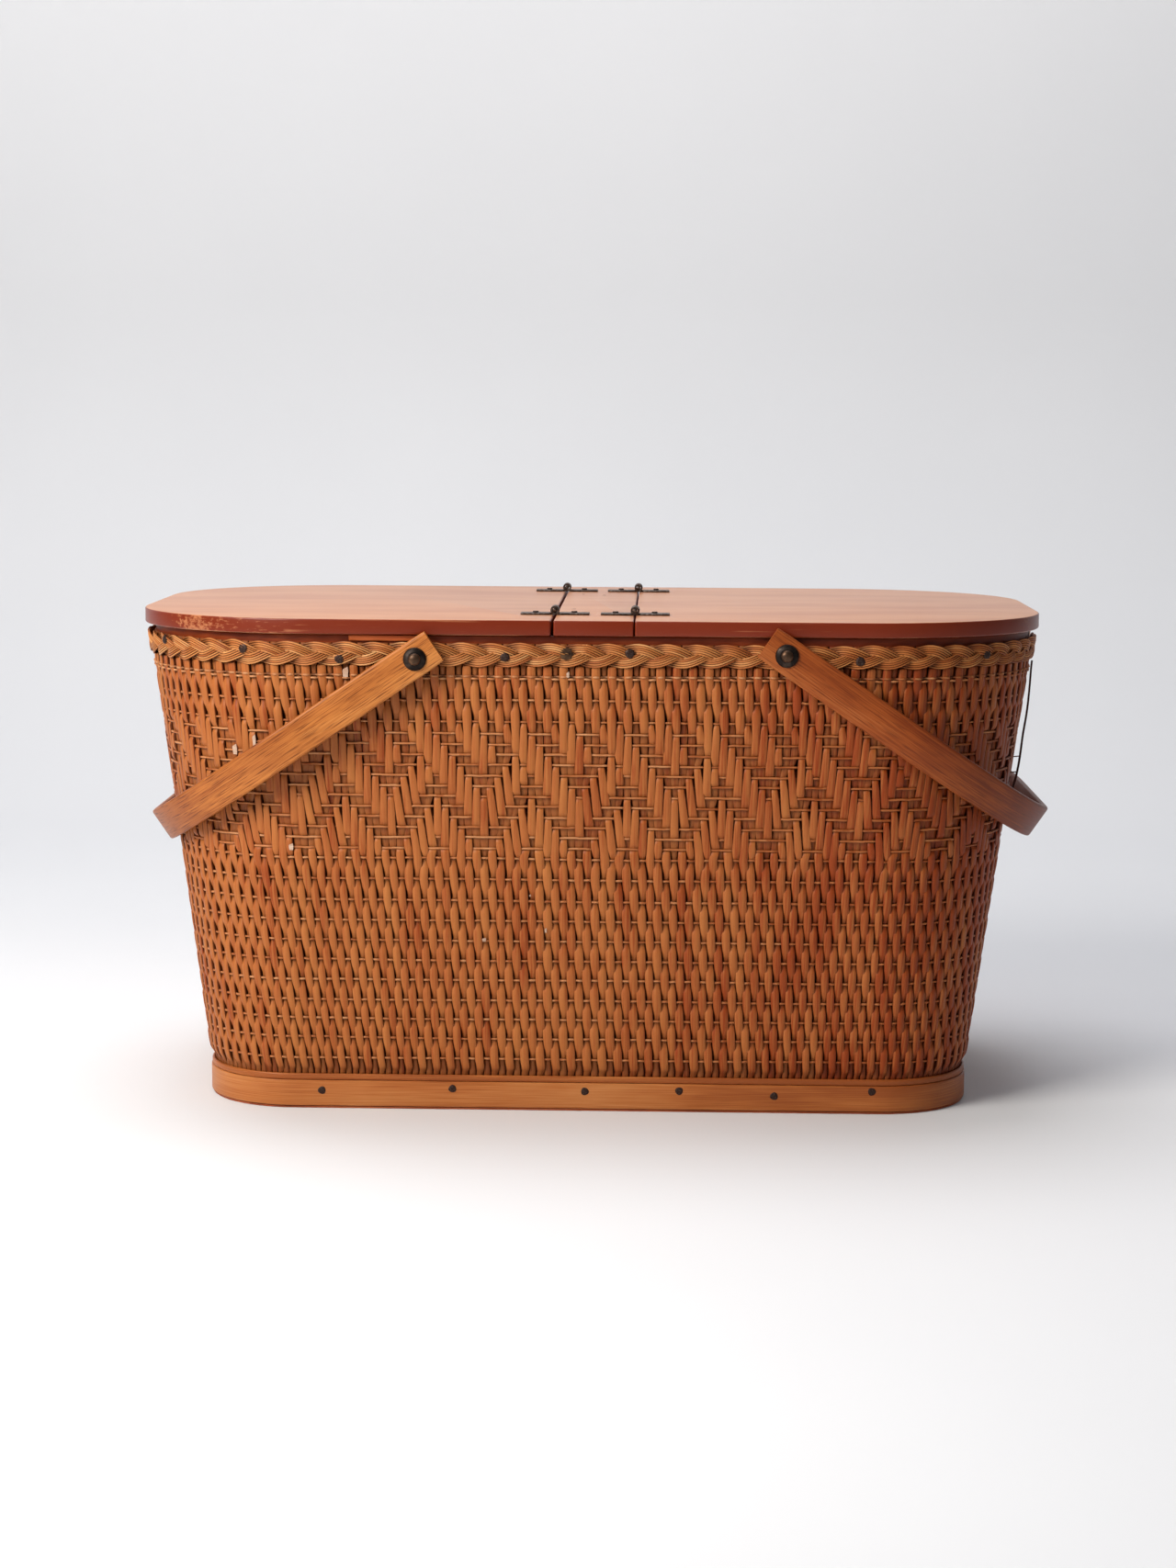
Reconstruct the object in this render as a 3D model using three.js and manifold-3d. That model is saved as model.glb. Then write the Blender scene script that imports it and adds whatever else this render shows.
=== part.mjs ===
// Woven picnic basket with a wooden base, two lid flaps and two bentwood handles.
// Millimetres, +Z up. The origin is the middle of the underside, +X runs along the
// length to the right and -Y is the front.
import * as THREE from 'three';
import { mergeVertices } from 'three/addons/utils/BufferGeometryUtils.js';
import Module from 'manifold-3d';

const wasm = await Module();
wasm.setup();

// Clearances
const seatGap = 0.3; // between pieces that meet on curved or turned faces
const restGap = 0.1; // under a flat piece that lies on a flat face
const boreGap = 0.3; // from a pin or shank to the wall of its hole
const overrun = 6; // how far a cutter runs past what it cuts

// Lid, cut by two seams into a left flap, a fixed bridge and a right flap
const lidLength = 508;
const lidDepth = 300;
const lidCornerRadius = 104.5;
const lidThickness = 8.4;
const lidEdgeRound = 0.9;
const lidTopHeight = 275.1;
const bridgeWidth = 44.2;
const bridgeOffset = 3.6; // the bridge stands a little right of the middle
const leftSeamGap = 1.4;
const rightSeamGap = 0.7;

// Base band, the strip above it and the base board
const bandThickness = 2.2;
const bandHeight = 14.4;
const bandEdgeRound = 0.5;
const trimThickness = 1.8;
const trimHeight = 3.6;
const boardThickness = 16;
const boardFlangeThickness = 1.2;
const boardFlangeInset = 0.9;

// Woven wall, which leans out from the band to the rim
const wallThickness = 3.2;
const weaveStand = 0.2; // how far the weave stands out past the band
const endLean = 34.2;
const sideLean = 22.9;
const cornerLean = 49; // how much rounder the corners are at the rim
const lidEndOverhang = 4.4;
const lidSideOverhang = 2.5;
const skirtThickness = 2; // the stakes alone, behind the band
const skirtRise = 3; // height over which the inner face widens above the skirt
const neckInset = 2.4; // the wall is thinner behind the braid

// Relief of the weave. Its stakes bow out between the cords that cross in front of them, in
// the real rows, but each bump stands for two or three of the real stakes side by side
const reliefDepth = 1.9;
const reliefColumns = 30; // bumps and hollows in a quarter of the way round
const footRowShares = [
  0.041, 0.092, 0.14, 0.188, 0.238, 0.287, 0.336, 0.386, 0.435, 0.488, 0.539,
];
const zigzagRowShares = [0.587, 0.635, 0.683, 0.731, 0.779, 0.827];
const rimRowShares = [0.87, 0.921, 0.977];
// Columns out of every four that are set in, row after row of the zigzag
const zigzagHollows = [[1], [0, 2], [3]];

// Braid around the rim, and the wooden hoop inside it
const braidHeight = 13.6;
const braidThickness = 4;
const hoopHeight = 30;
const hoopThickness = 5;
const hoopReveal = 3.4; // hoop seen between the braid and the lid

// Bentwood handles. The left one rests on the end wall, and the right one is held
// a few degrees above it by its tight rivets
const handleWidth = 19.5;
const handleThickness = 5;
const handleEdgeRound = 0.8;
const handleLegGap = 1.9; // from the braid to the leg
const handleTail = 12.3; // from the pivot to the square end of the leg
const handleStopGap = 0.4; // from the wall to the handle that rests on it
const leftHandle = {
  name: 'left_handle',
  side: -1,
  pivotInset: 162.2,
  pivotHeightShare: 0.36,
  reachPastWall: 21.9,
  bendRadius: 102,
  liftDegrees: 0,
};
const rightHandle = {
  name: 'right_handle',
  side: 1,
  pivotInset: 146.5,
  pivotHeightShare: 0.6,
  reachPastWall: 30.6,
  bendRadius: 98,
  liftDegrees: 6.1,
};

// Rivets that the handles turn on
const rivetRadius = 2.1;
const rivetDomeRadius = 3.3;
const rivetDomeHeight = 2;
const rivetTailRadius = 3.1;
const rivetTailHeight = 1.3;
const washerRadius = 6.3;
const washerHeight = 1.9;
const washerEdge = 0.6;
const washerCrownRadius = 3.9;
const burrRadius = 5.5;
const burrThickness = 1.2;

// Strap hinges
const hingeInset = 47; // from the front or back edge of the lid to the middle of the hinge
const leafLength = 19;
const leafWidth = 10;
const leafThickness = 1;
const knuckleRadius = 2.5;
const knuckleGap = 0.3;
const hingePinRadius = 1.1;
const hingePinStand = 0.4; // pin end past the knuckles

// Nails and the screw, each with a flat head on a round shank
const rimNail = { headRadius: 2.4, headHeight: 1, shankRadius: 0.9, length: 12 };
const rimScrew = { headRadius: 3.7, headHeight: 1.3, shankRadius: 1.5, length: 12 };
const screwSlotWidth = 0.9;
const screwSlotDepth = 0.7;
const baseNail = { headRadius: 2, headHeight: 0.8, shankRadius: 0.8, length: 12 };
const hingeNail = { headRadius: 1.8, headHeight: 0.8, shankRadius: 0.75, length: 7 };
const bradRadius = 1;
const bradLength = 12;

// Places of the nails along the front half of the rim, from the front middle (0) to the
// middle of an end (1), and up the braid
const rimNailShares = [
  { along: -0.703, up: 0.74 },
  { along: -0.5235, up: 0.65 },
  { along: -0.3727, up: 0.3 },
  { along: -0.1227, up: 0.43 },
  { along: 0.0654, up: 0.6 },
  { along: 0.412, up: 0.36 },
  { along: 0.629, up: 0.52 },
];
const rimScrewShare = { along: -0.03, up: 0.57 };

// Places of the nails along the front of the band, as shares of its straight half, and up it
const baseNailShares = [
  { along: -0.902, up: 0.61 },
  { along: -0.4536, up: 0.73 },
  { along: 0, up: 0.68 },
  { along: 0.3224, up: 0.74 },
  { along: 0.6466, up: 0.58 },
  { along: 0.98, up: 0.8 },
];

// Facets
const cornerSteps = 5;
const bendSteps = 6;
const rivetSides = 14;
const nailSides = 8;
const knuckleSides = 14;
const profileSteps = 3;
const angleStep = 0.00001; // radians

// Heights that follow from the driving sizes
const lidBottom = lidTopHeight - lidThickness;
const hoopTop = lidBottom - seatGap;
const hoopBottom = hoopTop - hoopHeight;
const braidTop = hoopTop - hoopReveal;
const braidBottom = braidTop - braidHeight;
const bandBottom = boardFlangeThickness + seatGap;
const bandTop = bandBottom + bandHeight;
const trimTop = bandTop + restGap + trimHeight;
const weaveBottom = trimTop + seatGap;
const weaveTop = braidBottom - seatGap;

// Depths of the layers, measured outwards from the outer face of the weave
const braidOuterStand = braidThickness - neckInset + seatGap;
const braidInnerStand = seatGap - neckInset;
const hoopOuterStand = -(wallThickness + seatGap);
const hoopInnerStand = hoopOuterStand - hoopThickness;

const woods = {
  lid: new THREE.MeshStandardMaterial({ color: 0xb0603c, roughness: 0.45, metalness: 0 }),
  hoop: new THREE.MeshStandardMaterial({ color: 0x9c4a28, roughness: 0.6, metalness: 0 }),
  board: new THREE.MeshStandardMaterial({ color: 0x93502f, roughness: 0.65, metalness: 0 }),
  band: new THREE.MeshStandardMaterial({ color: 0xc18749, roughness: 0.5, metalness: 0 }),
  weave: new THREE.MeshStandardMaterial({ color: 0xb06c35, roughness: 0.5, metalness: 0 }),
  braid: new THREE.MeshStandardMaterial({ color: 0xc48b4c, roughness: 0.55, metalness: 0 }),
  handle: new THREE.MeshStandardMaterial({ color: 0xa8642e, roughness: 0.45, metalness: 0 }),
};
const steel = new THREE.MeshStandardMaterial({ color: 0x3b3430, roughness: 0.5, metalness: 0.9 });
const bronze = new THREE.MeshStandardMaterial({ color: 0x4a3c31, roughness: 0.4, metalness: 0.9 });

// Sizes of a rounded rectangle, grown outwards by a stand
function grown(outline, stand) {
  return {
    halfLength: outline.halfLength + stand,
    halfDepth: outline.halfDepth + stand,
    radius: outline.radius + stand,
  };
}

const lidOutline = { halfLength: lidLength / 2, halfDepth: lidDepth / 2, radius: lidCornerRadius };
const weaveRim = {
  halfLength: lidOutline.halfLength - lidEndOverhang,
  halfDepth: lidOutline.halfDepth - lidSideOverhang,
  radius: lidOutline.radius - lidSideOverhang,
};
const weaveFoot = {
  halfLength: weaveRim.halfLength - endLean,
  halfDepth: weaveRim.halfDepth - sideLean,
  radius: weaveRim.radius - cornerLean,
};
const bandOutline = grown(weaveFoot, -weaveStand);
const skirtOutline = grown(bandOutline, -(bandThickness + seatGap));

// Outer face of the weave at a height, which widens evenly from its foot to its rim
function weaveAt(height, stand = 0) {
  const share = (height - weaveBottom) / (weaveTop - weaveBottom);
  const size = (key) => THREE.MathUtils.lerp(weaveFoot[key], weaveRim[key], share);
  const outline = {
    halfLength: size('halfLength'),
    halfDepth: size('halfDepth'),
    radius: size('radius'),
  };
  return { ...grown(outline, stand), height };
}

// Points of a rounded rectangle, anticlockwise from above
function outlinePoints({ halfLength, halfDepth, radius, height }) {
  const x = halfLength - radius;
  const y = halfDepth - radius;
  const quarter = Math.PI / 2;
  const shape = new THREE.Shape();
  shape.absarc(x, -y, radius, -quarter, 0);
  shape.absarc(x, y, radius, 0, quarter);
  shape.absarc(-x, y, radius, quarter, 2 * quarter);
  shape.absarc(-x, -y, radius, 2 * quarter, 3 * quarter);
  return shape.getPoints(cornerSteps).map((point) => new THREE.Vector3(point.x, point.y, height));
}

// Faces between two neighbouring outlines of a loft
function bandFaces(lower, upper, count) {
  const faces = [];
  for (let j = 0; j < count; j += 1) {
    const next = (j + 1) % count;
    faces.push(lower + j, lower + next, upper + next);
    faces.push(lower + j, upper + next, upper + j);
  }
  return faces;
}

// Solid through outlines from the lowest up, with a flat face at each end
function stackGeometry(outlines) {
  const loops = outlines.map(outlinePoints);
  const count = loops[0].length;
  const points = loops.flat();
  const faces = [];
  for (let i = 0; i + 1 < loops.length; i += 1) {
    faces.push(...bandFaces(i * count, (i + 1) * count, count));
  }
  const bottom = points.length;
  const top = bottom + 1;
  points.push(new THREE.Vector3(0, 0, outlines.at(0).height));
  points.push(new THREE.Vector3(0, 0, outlines.at(-1).height));
  const lastLoop = (loops.length - 1) * count;
  for (let j = 0; j < count; j += 1) {
    const next = (j + 1) % count;
    faces.push(bottom, next, j);
    faces.push(top, lastLoop + j, lastLoop + next);
  }
  return new THREE.BufferGeometry().setFromPoints(points).setIndex(faces);
}

// Ring through loops of points that go up its outer face and down its inner one
function ringThrough(loops) {
  const count = loops[0].length;
  const faces = [];
  for (let i = 0; i < loops.length; i += 1) {
    faces.push(...bandFaces(i * count, ((i + 1) % loops.length) * count, count));
  }
  return new THREE.BufferGeometry().setFromPoints(loops.flat()).setIndex(faces);
}

const ringGeometry = (outlines) => ringThrough(outlines.map(outlinePoints));

// Solid of a geometry, for joining and cutting
function solidOf(geometry) {
  const bare = geometry.clone();
  bare.deleteAttribute('normal');
  bare.deleteAttribute('uv');
  const merged = mergeVertices(bare);
  return new wasm.Manifold(new wasm.Mesh({
    numProp: 3,
    vertProperties: new Float32Array(merged.attributes.position.array),
    triVerts: new Uint32Array(merged.index.array),
  }));
}

function geometryOf(solid) {
  const { vertProperties, triVerts } = solid.getMesh();
  const geometry = new THREE.BufferGeometry();
  geometry.setAttribute('position', new THREE.BufferAttribute(new Float32Array(vertProperties), 3));
  geometry.setIndex(new THREE.BufferAttribute(new Uint32Array(triVerts), 1));
  return geometry;
}

// Geometry less each of its cutters
function cut(geometry, cutters) {
  return geometryOf(cutters.reduce((left, cutter) => left.subtract(solidOf(cutter)), solidOf(geometry)));
}

function joined(geometries) {
  return geometryOf(geometries.map(solidOf).reduce((whole, solid) => whole.add(solid)));
}

// Box between two corners
function boxGeometry(low, high) {
  const size = new THREE.Vector3().subVectors(high, low);
  const middle = new THREE.Vector3().addVectors(low, high).divideScalar(2);
  return new THREE.BoxGeometry(size.x, size.y, size.z).translate(middle.x, middle.y, middle.z);
}

// Round bar along Z from one height to another
function rodGeometry(radius, from, to, sides) {
  const rod = new THREE.CylinderGeometry(radius, radius, to - from, sides);
  return rod.rotateX(Math.PI / 2).translate(0, 0, (from + to) / 2);
}

// Turned solid about Z, through [radius, height] points from the lowest up
function turnedGeometry(points, sides) {
  const profile = points.map(([radius, height]) => new THREE.Vector2(radius, height));
  return new THREE.LatheGeometry(profile, sides).rotateX(Math.PI / 2);
}

const basket = new THREE.Group();

function addPiece(name, geometry, material, parent = basket) {
  geometry.computeVertexNormals();
  const mesh = new THREE.Mesh(geometry, material);
  mesh.name = name;
  parent.add(mesh);
  return mesh;
}

// Group at a place with its Z along a direction
function facing(position, direction) {
  const group = new THREE.Group();
  group.position.copy(position);
  group.quaternion.setFromUnitVectors(new THREE.Vector3(0, 0, 1), direction);
  group.updateMatrix();
  basket.add(group);
  return group;
}

// Nail with its head's top at height 0 and its shank down to its length
function nailGeometry(nail) {
  const chamfer = nail.headHeight / 3;
  return turnedGeometry([
    [0, -nail.length],
    [nail.shankRadius, -nail.length + nail.shankRadius],
    [nail.shankRadius, -nail.headHeight],
    [nail.headRadius, -nail.headHeight],
    [nail.headRadius, -chamfer],
    [nail.headRadius - chamfer, 0],
    [0, 0],
  ], nailSides);
}

// What a nail's shank and its sunk head clear away. A head that is not sunk cuts nothing
function nailCutters(nail, headIsSunk) {
  const shank = rodGeometry(nail.shankRadius + boreGap, -nail.length - seatGap, overrun, nailSides);
  if (!headIsSunk) return [shank];
  return [shank, rodGeometry(nail.headRadius + boreGap, -nail.headHeight - seatGap, overrun, nailSides)];
}

// Place and outward direction on the front half of an outline, by its share of the way
// from the front middle to the middle of an end
function frontPlace(outline, share) {
  const front = outline.halfLength - outline.radius;
  const side = outline.halfDepth - outline.radius;
  const bend = outline.radius * Math.PI / 2;
  const way = Math.abs(share) * (front + bend + side);
  const turn = THREE.MathUtils.clamp((way - front) / outline.radius, 0, Math.PI / 2);
  const right = Math.sign(share);
  const position = new THREE.Vector3(
    right * (Math.min(way, front) + outline.radius * Math.sin(turn)),
    Math.max(way - front - bend, 0) - side - outline.radius * Math.cos(turn),
    outline.height,
  );
  return { position, direction: new THREE.Vector3(right * Math.sin(turn), -Math.cos(turn), 0) };
}

// Nails of the rim and the base, each in a group of its own, with the holes they need
function placeNail(name, nail, place, material) {
  const group = facing(place.position, place.direction);
  addPiece(name, nailGeometry(nail), material, group);
  return nailCutters(nail, true).map((cutter) => cutter.applyMatrix4(group.matrix));
}

const braidHeightAt = (share) => braidBottom + share * braidHeight;
const rimCutters = [];
rimNailShares.forEach(({ along, up }, index) => {
  const place = frontPlace(weaveAt(braidHeightAt(up), braidOuterStand), along);
  rimCutters.push(...placeNail(`rim_nail_${index + 1}`, rimNail, place, steel));
});

const screwPlace = frontPlace(
  weaveAt(braidHeightAt(rimScrewShare.up), braidOuterStand),
  rimScrewShare.along,
);
const screwGroup = facing(screwPlace.position, screwPlace.direction);
const screwSlot = boxGeometry(
  new THREE.Vector3(-rimScrew.headRadius - overrun, -screwSlotWidth / 2, -screwSlotDepth),
  new THREE.Vector3(rimScrew.headRadius + overrun, screwSlotWidth / 2, overrun),
);
addPiece('rim_screw', cut(nailGeometry(rimScrew), [screwSlot]), bronze, screwGroup);
rimCutters.push(...nailCutters(rimScrew, true).map((cutter) => cutter.applyMatrix4(screwGroup.matrix)));

const bandStraight = bandOutline.halfLength - bandOutline.radius;
const baseCutters = [];
baseNailShares.forEach(({ along, up }, index) => {
  const position = new THREE.Vector3(
    along * bandStraight,
    -bandOutline.halfDepth,
    bandBottom + up * bandHeight,
  );
  const place = { position, direction: new THREE.Vector3(0, -1, 0) };
  baseCutters.push(...placeNail(`base_nail_${index + 1}`, baseNail, place, steel));
});

// Handles. Each is a flat strip bent into a U around one end of the basket, drawn in its
// own plane with X along its legs, Y across the basket and the strip's width along Z
function handleGeometry({ bendRadius }, reach, legInner) {
  const inner = bendRadius;
  const outer = bendRadius + handleThickness;
  const bendX = reach - bendRadius;
  const bendY = legInner - bendRadius;
  const quarter = Math.PI / 2;
  const shape = new THREE.Shape();
  shape.moveTo(-handleTail, -legInner - handleThickness);
  shape.absarc(bendX, -bendY, outer, -quarter, 0, false);
  shape.absarc(bendX, bendY, outer, 0, quarter, false);
  shape.lineTo(-handleTail, legInner + handleThickness);
  shape.lineTo(-handleTail, legInner);
  shape.absarc(bendX, bendY, inner, quarter, 0, true);
  shape.absarc(bendX, -bendY, inner, 0, -quarter, true);
  shape.lineTo(-handleTail, -legInner);
  shape.closePath();
  const strip = new THREE.ExtrudeGeometry(shape, {
    depth: handleWidth - 2 * handleEdgeRound,
    curveSegments: bendSteps,
    bevelSize: handleEdgeRound,
    bevelOffset: -handleEdgeRound,
    bevelThickness: handleEdgeRound,
    bevelSegments: 1,
  });
  return strip.translate(0, 0, handleEdgeRound - handleWidth / 2);
}

// Inner face of a handle at its corners and halfway between them, along both its edges
function innerPoints({ bendRadius }, reach, legInner) {
  const bend = new THREE.Path();
  bend.absarc(reach - bendRadius, legInner - bendRadius, bendRadius, Math.PI / 2, 0, true);
  const corners = [...bend.getPoints(bendSteps), new THREE.Vector2(reach, 0)];
  const middles = corners.slice(1).map((corner, i) => corner.clone().lerp(corners[i], 1 / 2));
  return [...corners, ...middles].flatMap(({ x, y }) => [
    new THREE.Vector3(x, y, -handleWidth / 2),
    new THREE.Vector3(x, y, handleWidth / 2),
  ]);
}

// How far a point stands out from the outer face of the weave at its height
function standOf({ x, y, z }) {
  const { halfLength, halfDepth, radius } = weaveAt(z);
  const alongEnd = Math.abs(x) - (halfLength - radius);
  const alongSide = Math.abs(y) - (halfDepth - radius);
  const inside = Math.min(Math.max(alongEnd, alongSide), 0);
  return Math.hypot(Math.max(alongEnd, 0), Math.max(alongSide, 0)) + inside - radius;
}

// Angle below level at which a handle swinging down first meets the wall, by halving
function restingAngle(points, pivot) {
  const crosswise = new THREE.Vector3(0, 1, 0);
  const turned = (point, angle) => point.clone().applyAxisAngle(crosswise, angle).add(pivot);
  let clear = 0;
  let blocked = Math.PI / 2;
  while (blocked - clear > angleStep) {
    const angle = (clear + blocked) / 2;
    if (points.every((point) => standOf(turned(point, angle)) > handleStopGap)) clear = angle;
    else blocked = angle;
  }
  return clear;
}

// Rivet, its outer washer and its inner burr, along Z from the leg's outer face at height 0
function addRivet(name, place, gripDepth) {
  const group = facing(place.position, place.direction);
  const washerFloor = seatGap;
  const headFloor = washerFloor + washerHeight + restGap;
  const burrTop = -gripDepth - seatGap;
  const tailTop = burrTop - burrThickness - restGap;
  const dome = [];
  for (let i = 0; i <= profileSteps; i += 1) {
    const turn = (i / profileSteps) * (Math.PI / 2);
    dome.push([rivetDomeRadius * Math.cos(turn), headFloor + rivetDomeHeight * Math.sin(turn)]);
  }
  addPiece(`${name}_rivet`, turnedGeometry([
    [0, tailTop - rivetTailHeight],
    [rivetTailRadius - rivetTailHeight / 2, tailTop - rivetTailHeight],
    [rivetTailRadius, tailTop - rivetTailHeight / 2],
    [rivetTailRadius, tailTop],
    [rivetRadius, tailTop],
    [rivetRadius, headFloor],
    ...dome.slice(0, -1),
    [0, headFloor + rivetDomeHeight],
  ], rivetSides), bronze, group);
  const bore = rodGeometry(rivetRadius + boreGap, -overrun, overrun, rivetSides);
  const washer = turnedGeometry([
    [0, washerFloor],
    [washerRadius, washerFloor],
    [washerRadius, washerFloor + washerEdge],
    [washerCrownRadius, washerFloor + washerHeight],
    [0, washerFloor + washerHeight],
  ], rivetSides);
  addPiece(`${name}_washer`, cut(washer, [bore]), bronze, group);
  const burr = rodGeometry(burrRadius, burrTop - burrThickness, burrTop, rivetSides);
  const burrBore = rodGeometry(
    rivetRadius + boreGap,
    burrTop - burrThickness - overrun,
    burrTop + overrun,
    rivetSides,
  );
  addPiece(`${name}_burr`, cut(burr, [burrBore]), steel, group);
  const rimBore = rodGeometry(rivetRadius + boreGap, -gripDepth - overrun, overrun, rivetSides);
  rimCutters.push(rimBore.applyMatrix4(group.matrix));
}

function addHandle(handle) {
  const pivotX = lidOutline.halfLength - handle.pivotInset;
  const pivotZ = braidHeightAt(handle.pivotHeightShare);
  const legInner = weaveAt(pivotZ, braidOuterStand).halfDepth + handleLegGap;
  const legOuter = legInner + handleThickness;
  const bore = rodGeometry(rivetRadius + boreGap, -legOuter - overrun, legOuter + overrun, rivetSides);
  const reach = weaveAt(pivotZ).halfLength - pivotX + handle.reachPastWall;
  const strip = cut(handleGeometry(handle, reach, legInner), [bore.rotateX(Math.PI / 2)]);
  const points = innerPoints(handle, reach, legInner);
  const restAngle = restingAngle(points, new THREE.Vector3(pivotX, 0, pivotZ));
  const angle = restAngle - THREE.MathUtils.degToRad(handle.liftDegrees);
  const group = new THREE.Group();
  group.position.set(handle.side * pivotX, 0, pivotZ);
  group.rotation.y = handle.side > 0 ? angle : Math.PI - angle;
  basket.add(group);
  addPiece(handle.name, strip, woods.handle, group);
  // The hoop's inner face leans, so the grip reaches to where it stands furthest in
  const hoopFace = weaveAt(pivotZ - burrRadius, hoopInnerStand).halfDepth;
  for (const [end, across] of [['front', -1], ['back', 1]]) {
    const position = new THREE.Vector3(handle.side * pivotX, across * legOuter, pivotZ);
    const direction = new THREE.Vector3(0, across, 0);
    addRivet(`${handle.name}_${end}`, { position, direction }, legOuter - hoopFace);
  }
}

addHandle(leftHandle);
addHandle(rightHandle);

// Lid pieces, cut from one plate, with the holes of the hinge nails and the bridge brads
const lidAt = (height, stand = 0) => ({ ...grown(lidOutline, stand), height });
const lidPlate = stackGeometry([
  lidAt(lidBottom, -lidEdgeRound),
  lidAt(lidBottom + lidEdgeRound),
  lidAt(lidTopHeight - lidEdgeRound),
  lidAt(lidTopHeight, -lidEdgeRound),
]);
const leftSeam = bridgeOffset - bridgeWidth / 2;
const rightSeam = bridgeOffset + bridgeWidth / 2;

// Stretch of the lid plate between two places along X
function lidStretch(from, to) {
  const low = new THREE.Vector3(from, -lidDepth, lidBottom - overrun);
  const high = new THREE.Vector3(to, lidDepth, lidTopHeight + overrun);
  return geometryOf(solidOf(lidPlate).intersect(solidOf(boxGeometry(low, high))));
}

// Leaf of a strap hinge around its pin's axis. Its strap lies on the lid towards a side
function leafGeometry(side, holdsMiddle, segment) {
  const floor = -knuckleRadius;
  const ceiling = floor + leafThickness;
  const box = (from, to, nearY, farY) => boxGeometry(
    new THREE.Vector3(Math.min(side * from, side * to), nearY, floor),
    new THREE.Vector3(Math.max(side * from, side * to), farY, ceiling),
  );
  const strap = box(knuckleRadius + knuckleGap, leafLength, -leafWidth / 2, leafWidth / 2);
  const spans = holdsMiddle
    ? [[-segment / 2, segment / 2]]
    : [[-leafWidth / 2, -segment / 2 - knuckleGap], [segment / 2 + knuckleGap, leafWidth / 2]];
  const pieces = spans.flatMap(([nearY, farY]) => [
    box(0, leafLength / 2, nearY, farY),
    rodGeometry(knuckleRadius, -farY, -nearY, knuckleSides).rotateX(Math.PI / 2),
  ]);
  const bore = rodGeometry(hingePinRadius + boreGap, -leafWidth, leafWidth, knuckleSides);
  return cut(joined([strap, ...pieces]), [bore.rotateX(Math.PI / 2)]);
}

// Hinge across a seam. Returns the holes that its two nails need on each side
function addHinge(name, seam, y, lidSide) {
  const segment = (leafWidth - 2 * knuckleGap) / 3;
  const group = new THREE.Group();
  group.position.set(seam, y, lidTopHeight + restGap + knuckleRadius);
  group.updateMatrix();
  basket.add(group);
  const holes = {};
  for (const [part, side, holdsMiddle] of [['lid', lidSide, true], ['bridge', -lidSide, false]]) {
    const nailGroup = new THREE.Group();
    const headFloor = leafThickness - knuckleRadius + restGap;
    nailGroup.position.set(side * (leafLength + knuckleRadius) / 2, 0, headFloor + hingeNail.headHeight);
    nailGroup.updateMatrix();
    group.add(nailGroup);
    const [hole] = nailCutters(hingeNail, false).map((cutter) => cutter.applyMatrix4(nailGroup.matrix));
    addPiece(`${name}_${part}_leaf`, cut(leafGeometry(side, holdsMiddle, segment), [hole]), steel, group);
    addPiece(`${name}_${part}_nail`, nailGeometry(hingeNail), steel, nailGroup);
    holes[part] = hole.applyMatrix4(group.matrix);
  }
  const pinEnd = leafWidth / 2 + hingePinStand;
  const pin = rodGeometry(hingePinRadius, -pinEnd, pinEnd, knuckleSides);
  addPiece(`${name}_pin`, pin.rotateX(Math.PI / 2), steel, group);
  return holes;
}

const hingeY = lidDepth / 2 - hingeInset;
const leftHoles = [];
const rightHoles = [];
const bridgeHoles = [];
for (const [end, across] of [['front', -1], ['back', 1]]) {
  const left = addHinge(`left_${end}_hinge`, leftSeam, across * hingeY, -1);
  const right = addHinge(`right_${end}_hinge`, rightSeam, across * hingeY, 1);
  leftHoles.push(left.lid);
  rightHoles.push(right.lid);
  bridgeHoles.push(left.bridge, right.bridge);
  const hoopMiddle = weaveAt(hoopTop, (hoopOuterStand + hoopInnerStand) / 2).halfDepth;
  const bradPlace = [bridgeOffset, across * hoopMiddle, (hoopTop + lidBottom) / 2];
  const brad = rodGeometry(bradRadius, -bradLength / 2, bradLength / 2, nailSides);
  addPiece(`bridge_brad_${end}`, brad.translate(...bradPlace), steel);
  const bradHalf = bradLength / 2 + seatGap;
  const bradHole = rodGeometry(bradRadius + boreGap, -bradHalf, bradHalf, nailSides);
  bradHole.translate(...bradPlace);
  bridgeHoles.push(bradHole);
  rimCutters.push(bradHole);
}
addPiece('left_lid', cut(lidStretch(-lidLength, leftSeam - leftSeamGap / 2), leftHoles), woods.lid);
addPiece(
  'lid_bridge',
  cut(lidStretch(leftSeam + leftSeamGap / 2, rightSeam - rightSeamGap / 2), bridgeHoles),
  woods.lid,
);
addPiece('right_lid', cut(lidStretch(rightSeam + rightSeamGap / 2, lidLength), rightHoles), woods.lid);

// Braid: flat behind, crowned in front
const braidSection = [];
for (let i = 0; i <= 2 * profileSteps; i += 1) {
  const turn = (i / profileSteps - 1) * (Math.PI / 2);
  const crownShare = Math.sqrt(Math.max(Math.cos(turn), 0));
  const height = braidBottom + (braidHeight / 2) * (1 + Math.sin(turn));
  braidSection.push(weaveAt(height, braidInnerStand + braidThickness * crownShare));
}
addPiece('rim_braid', cut(ringGeometry(braidSection), rimCutters), woods.braid);

addPiece('rim_hoop', cut(ringGeometry([
  weaveAt(hoopBottom, hoopOuterStand),
  weaveAt(hoopTop, hoopOuterStand),
  weaveAt(hoopTop, hoopInnerStand),
  weaveAt(hoopBottom, hoopInnerStand),
]), rimCutters), woods.hoop);

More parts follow.
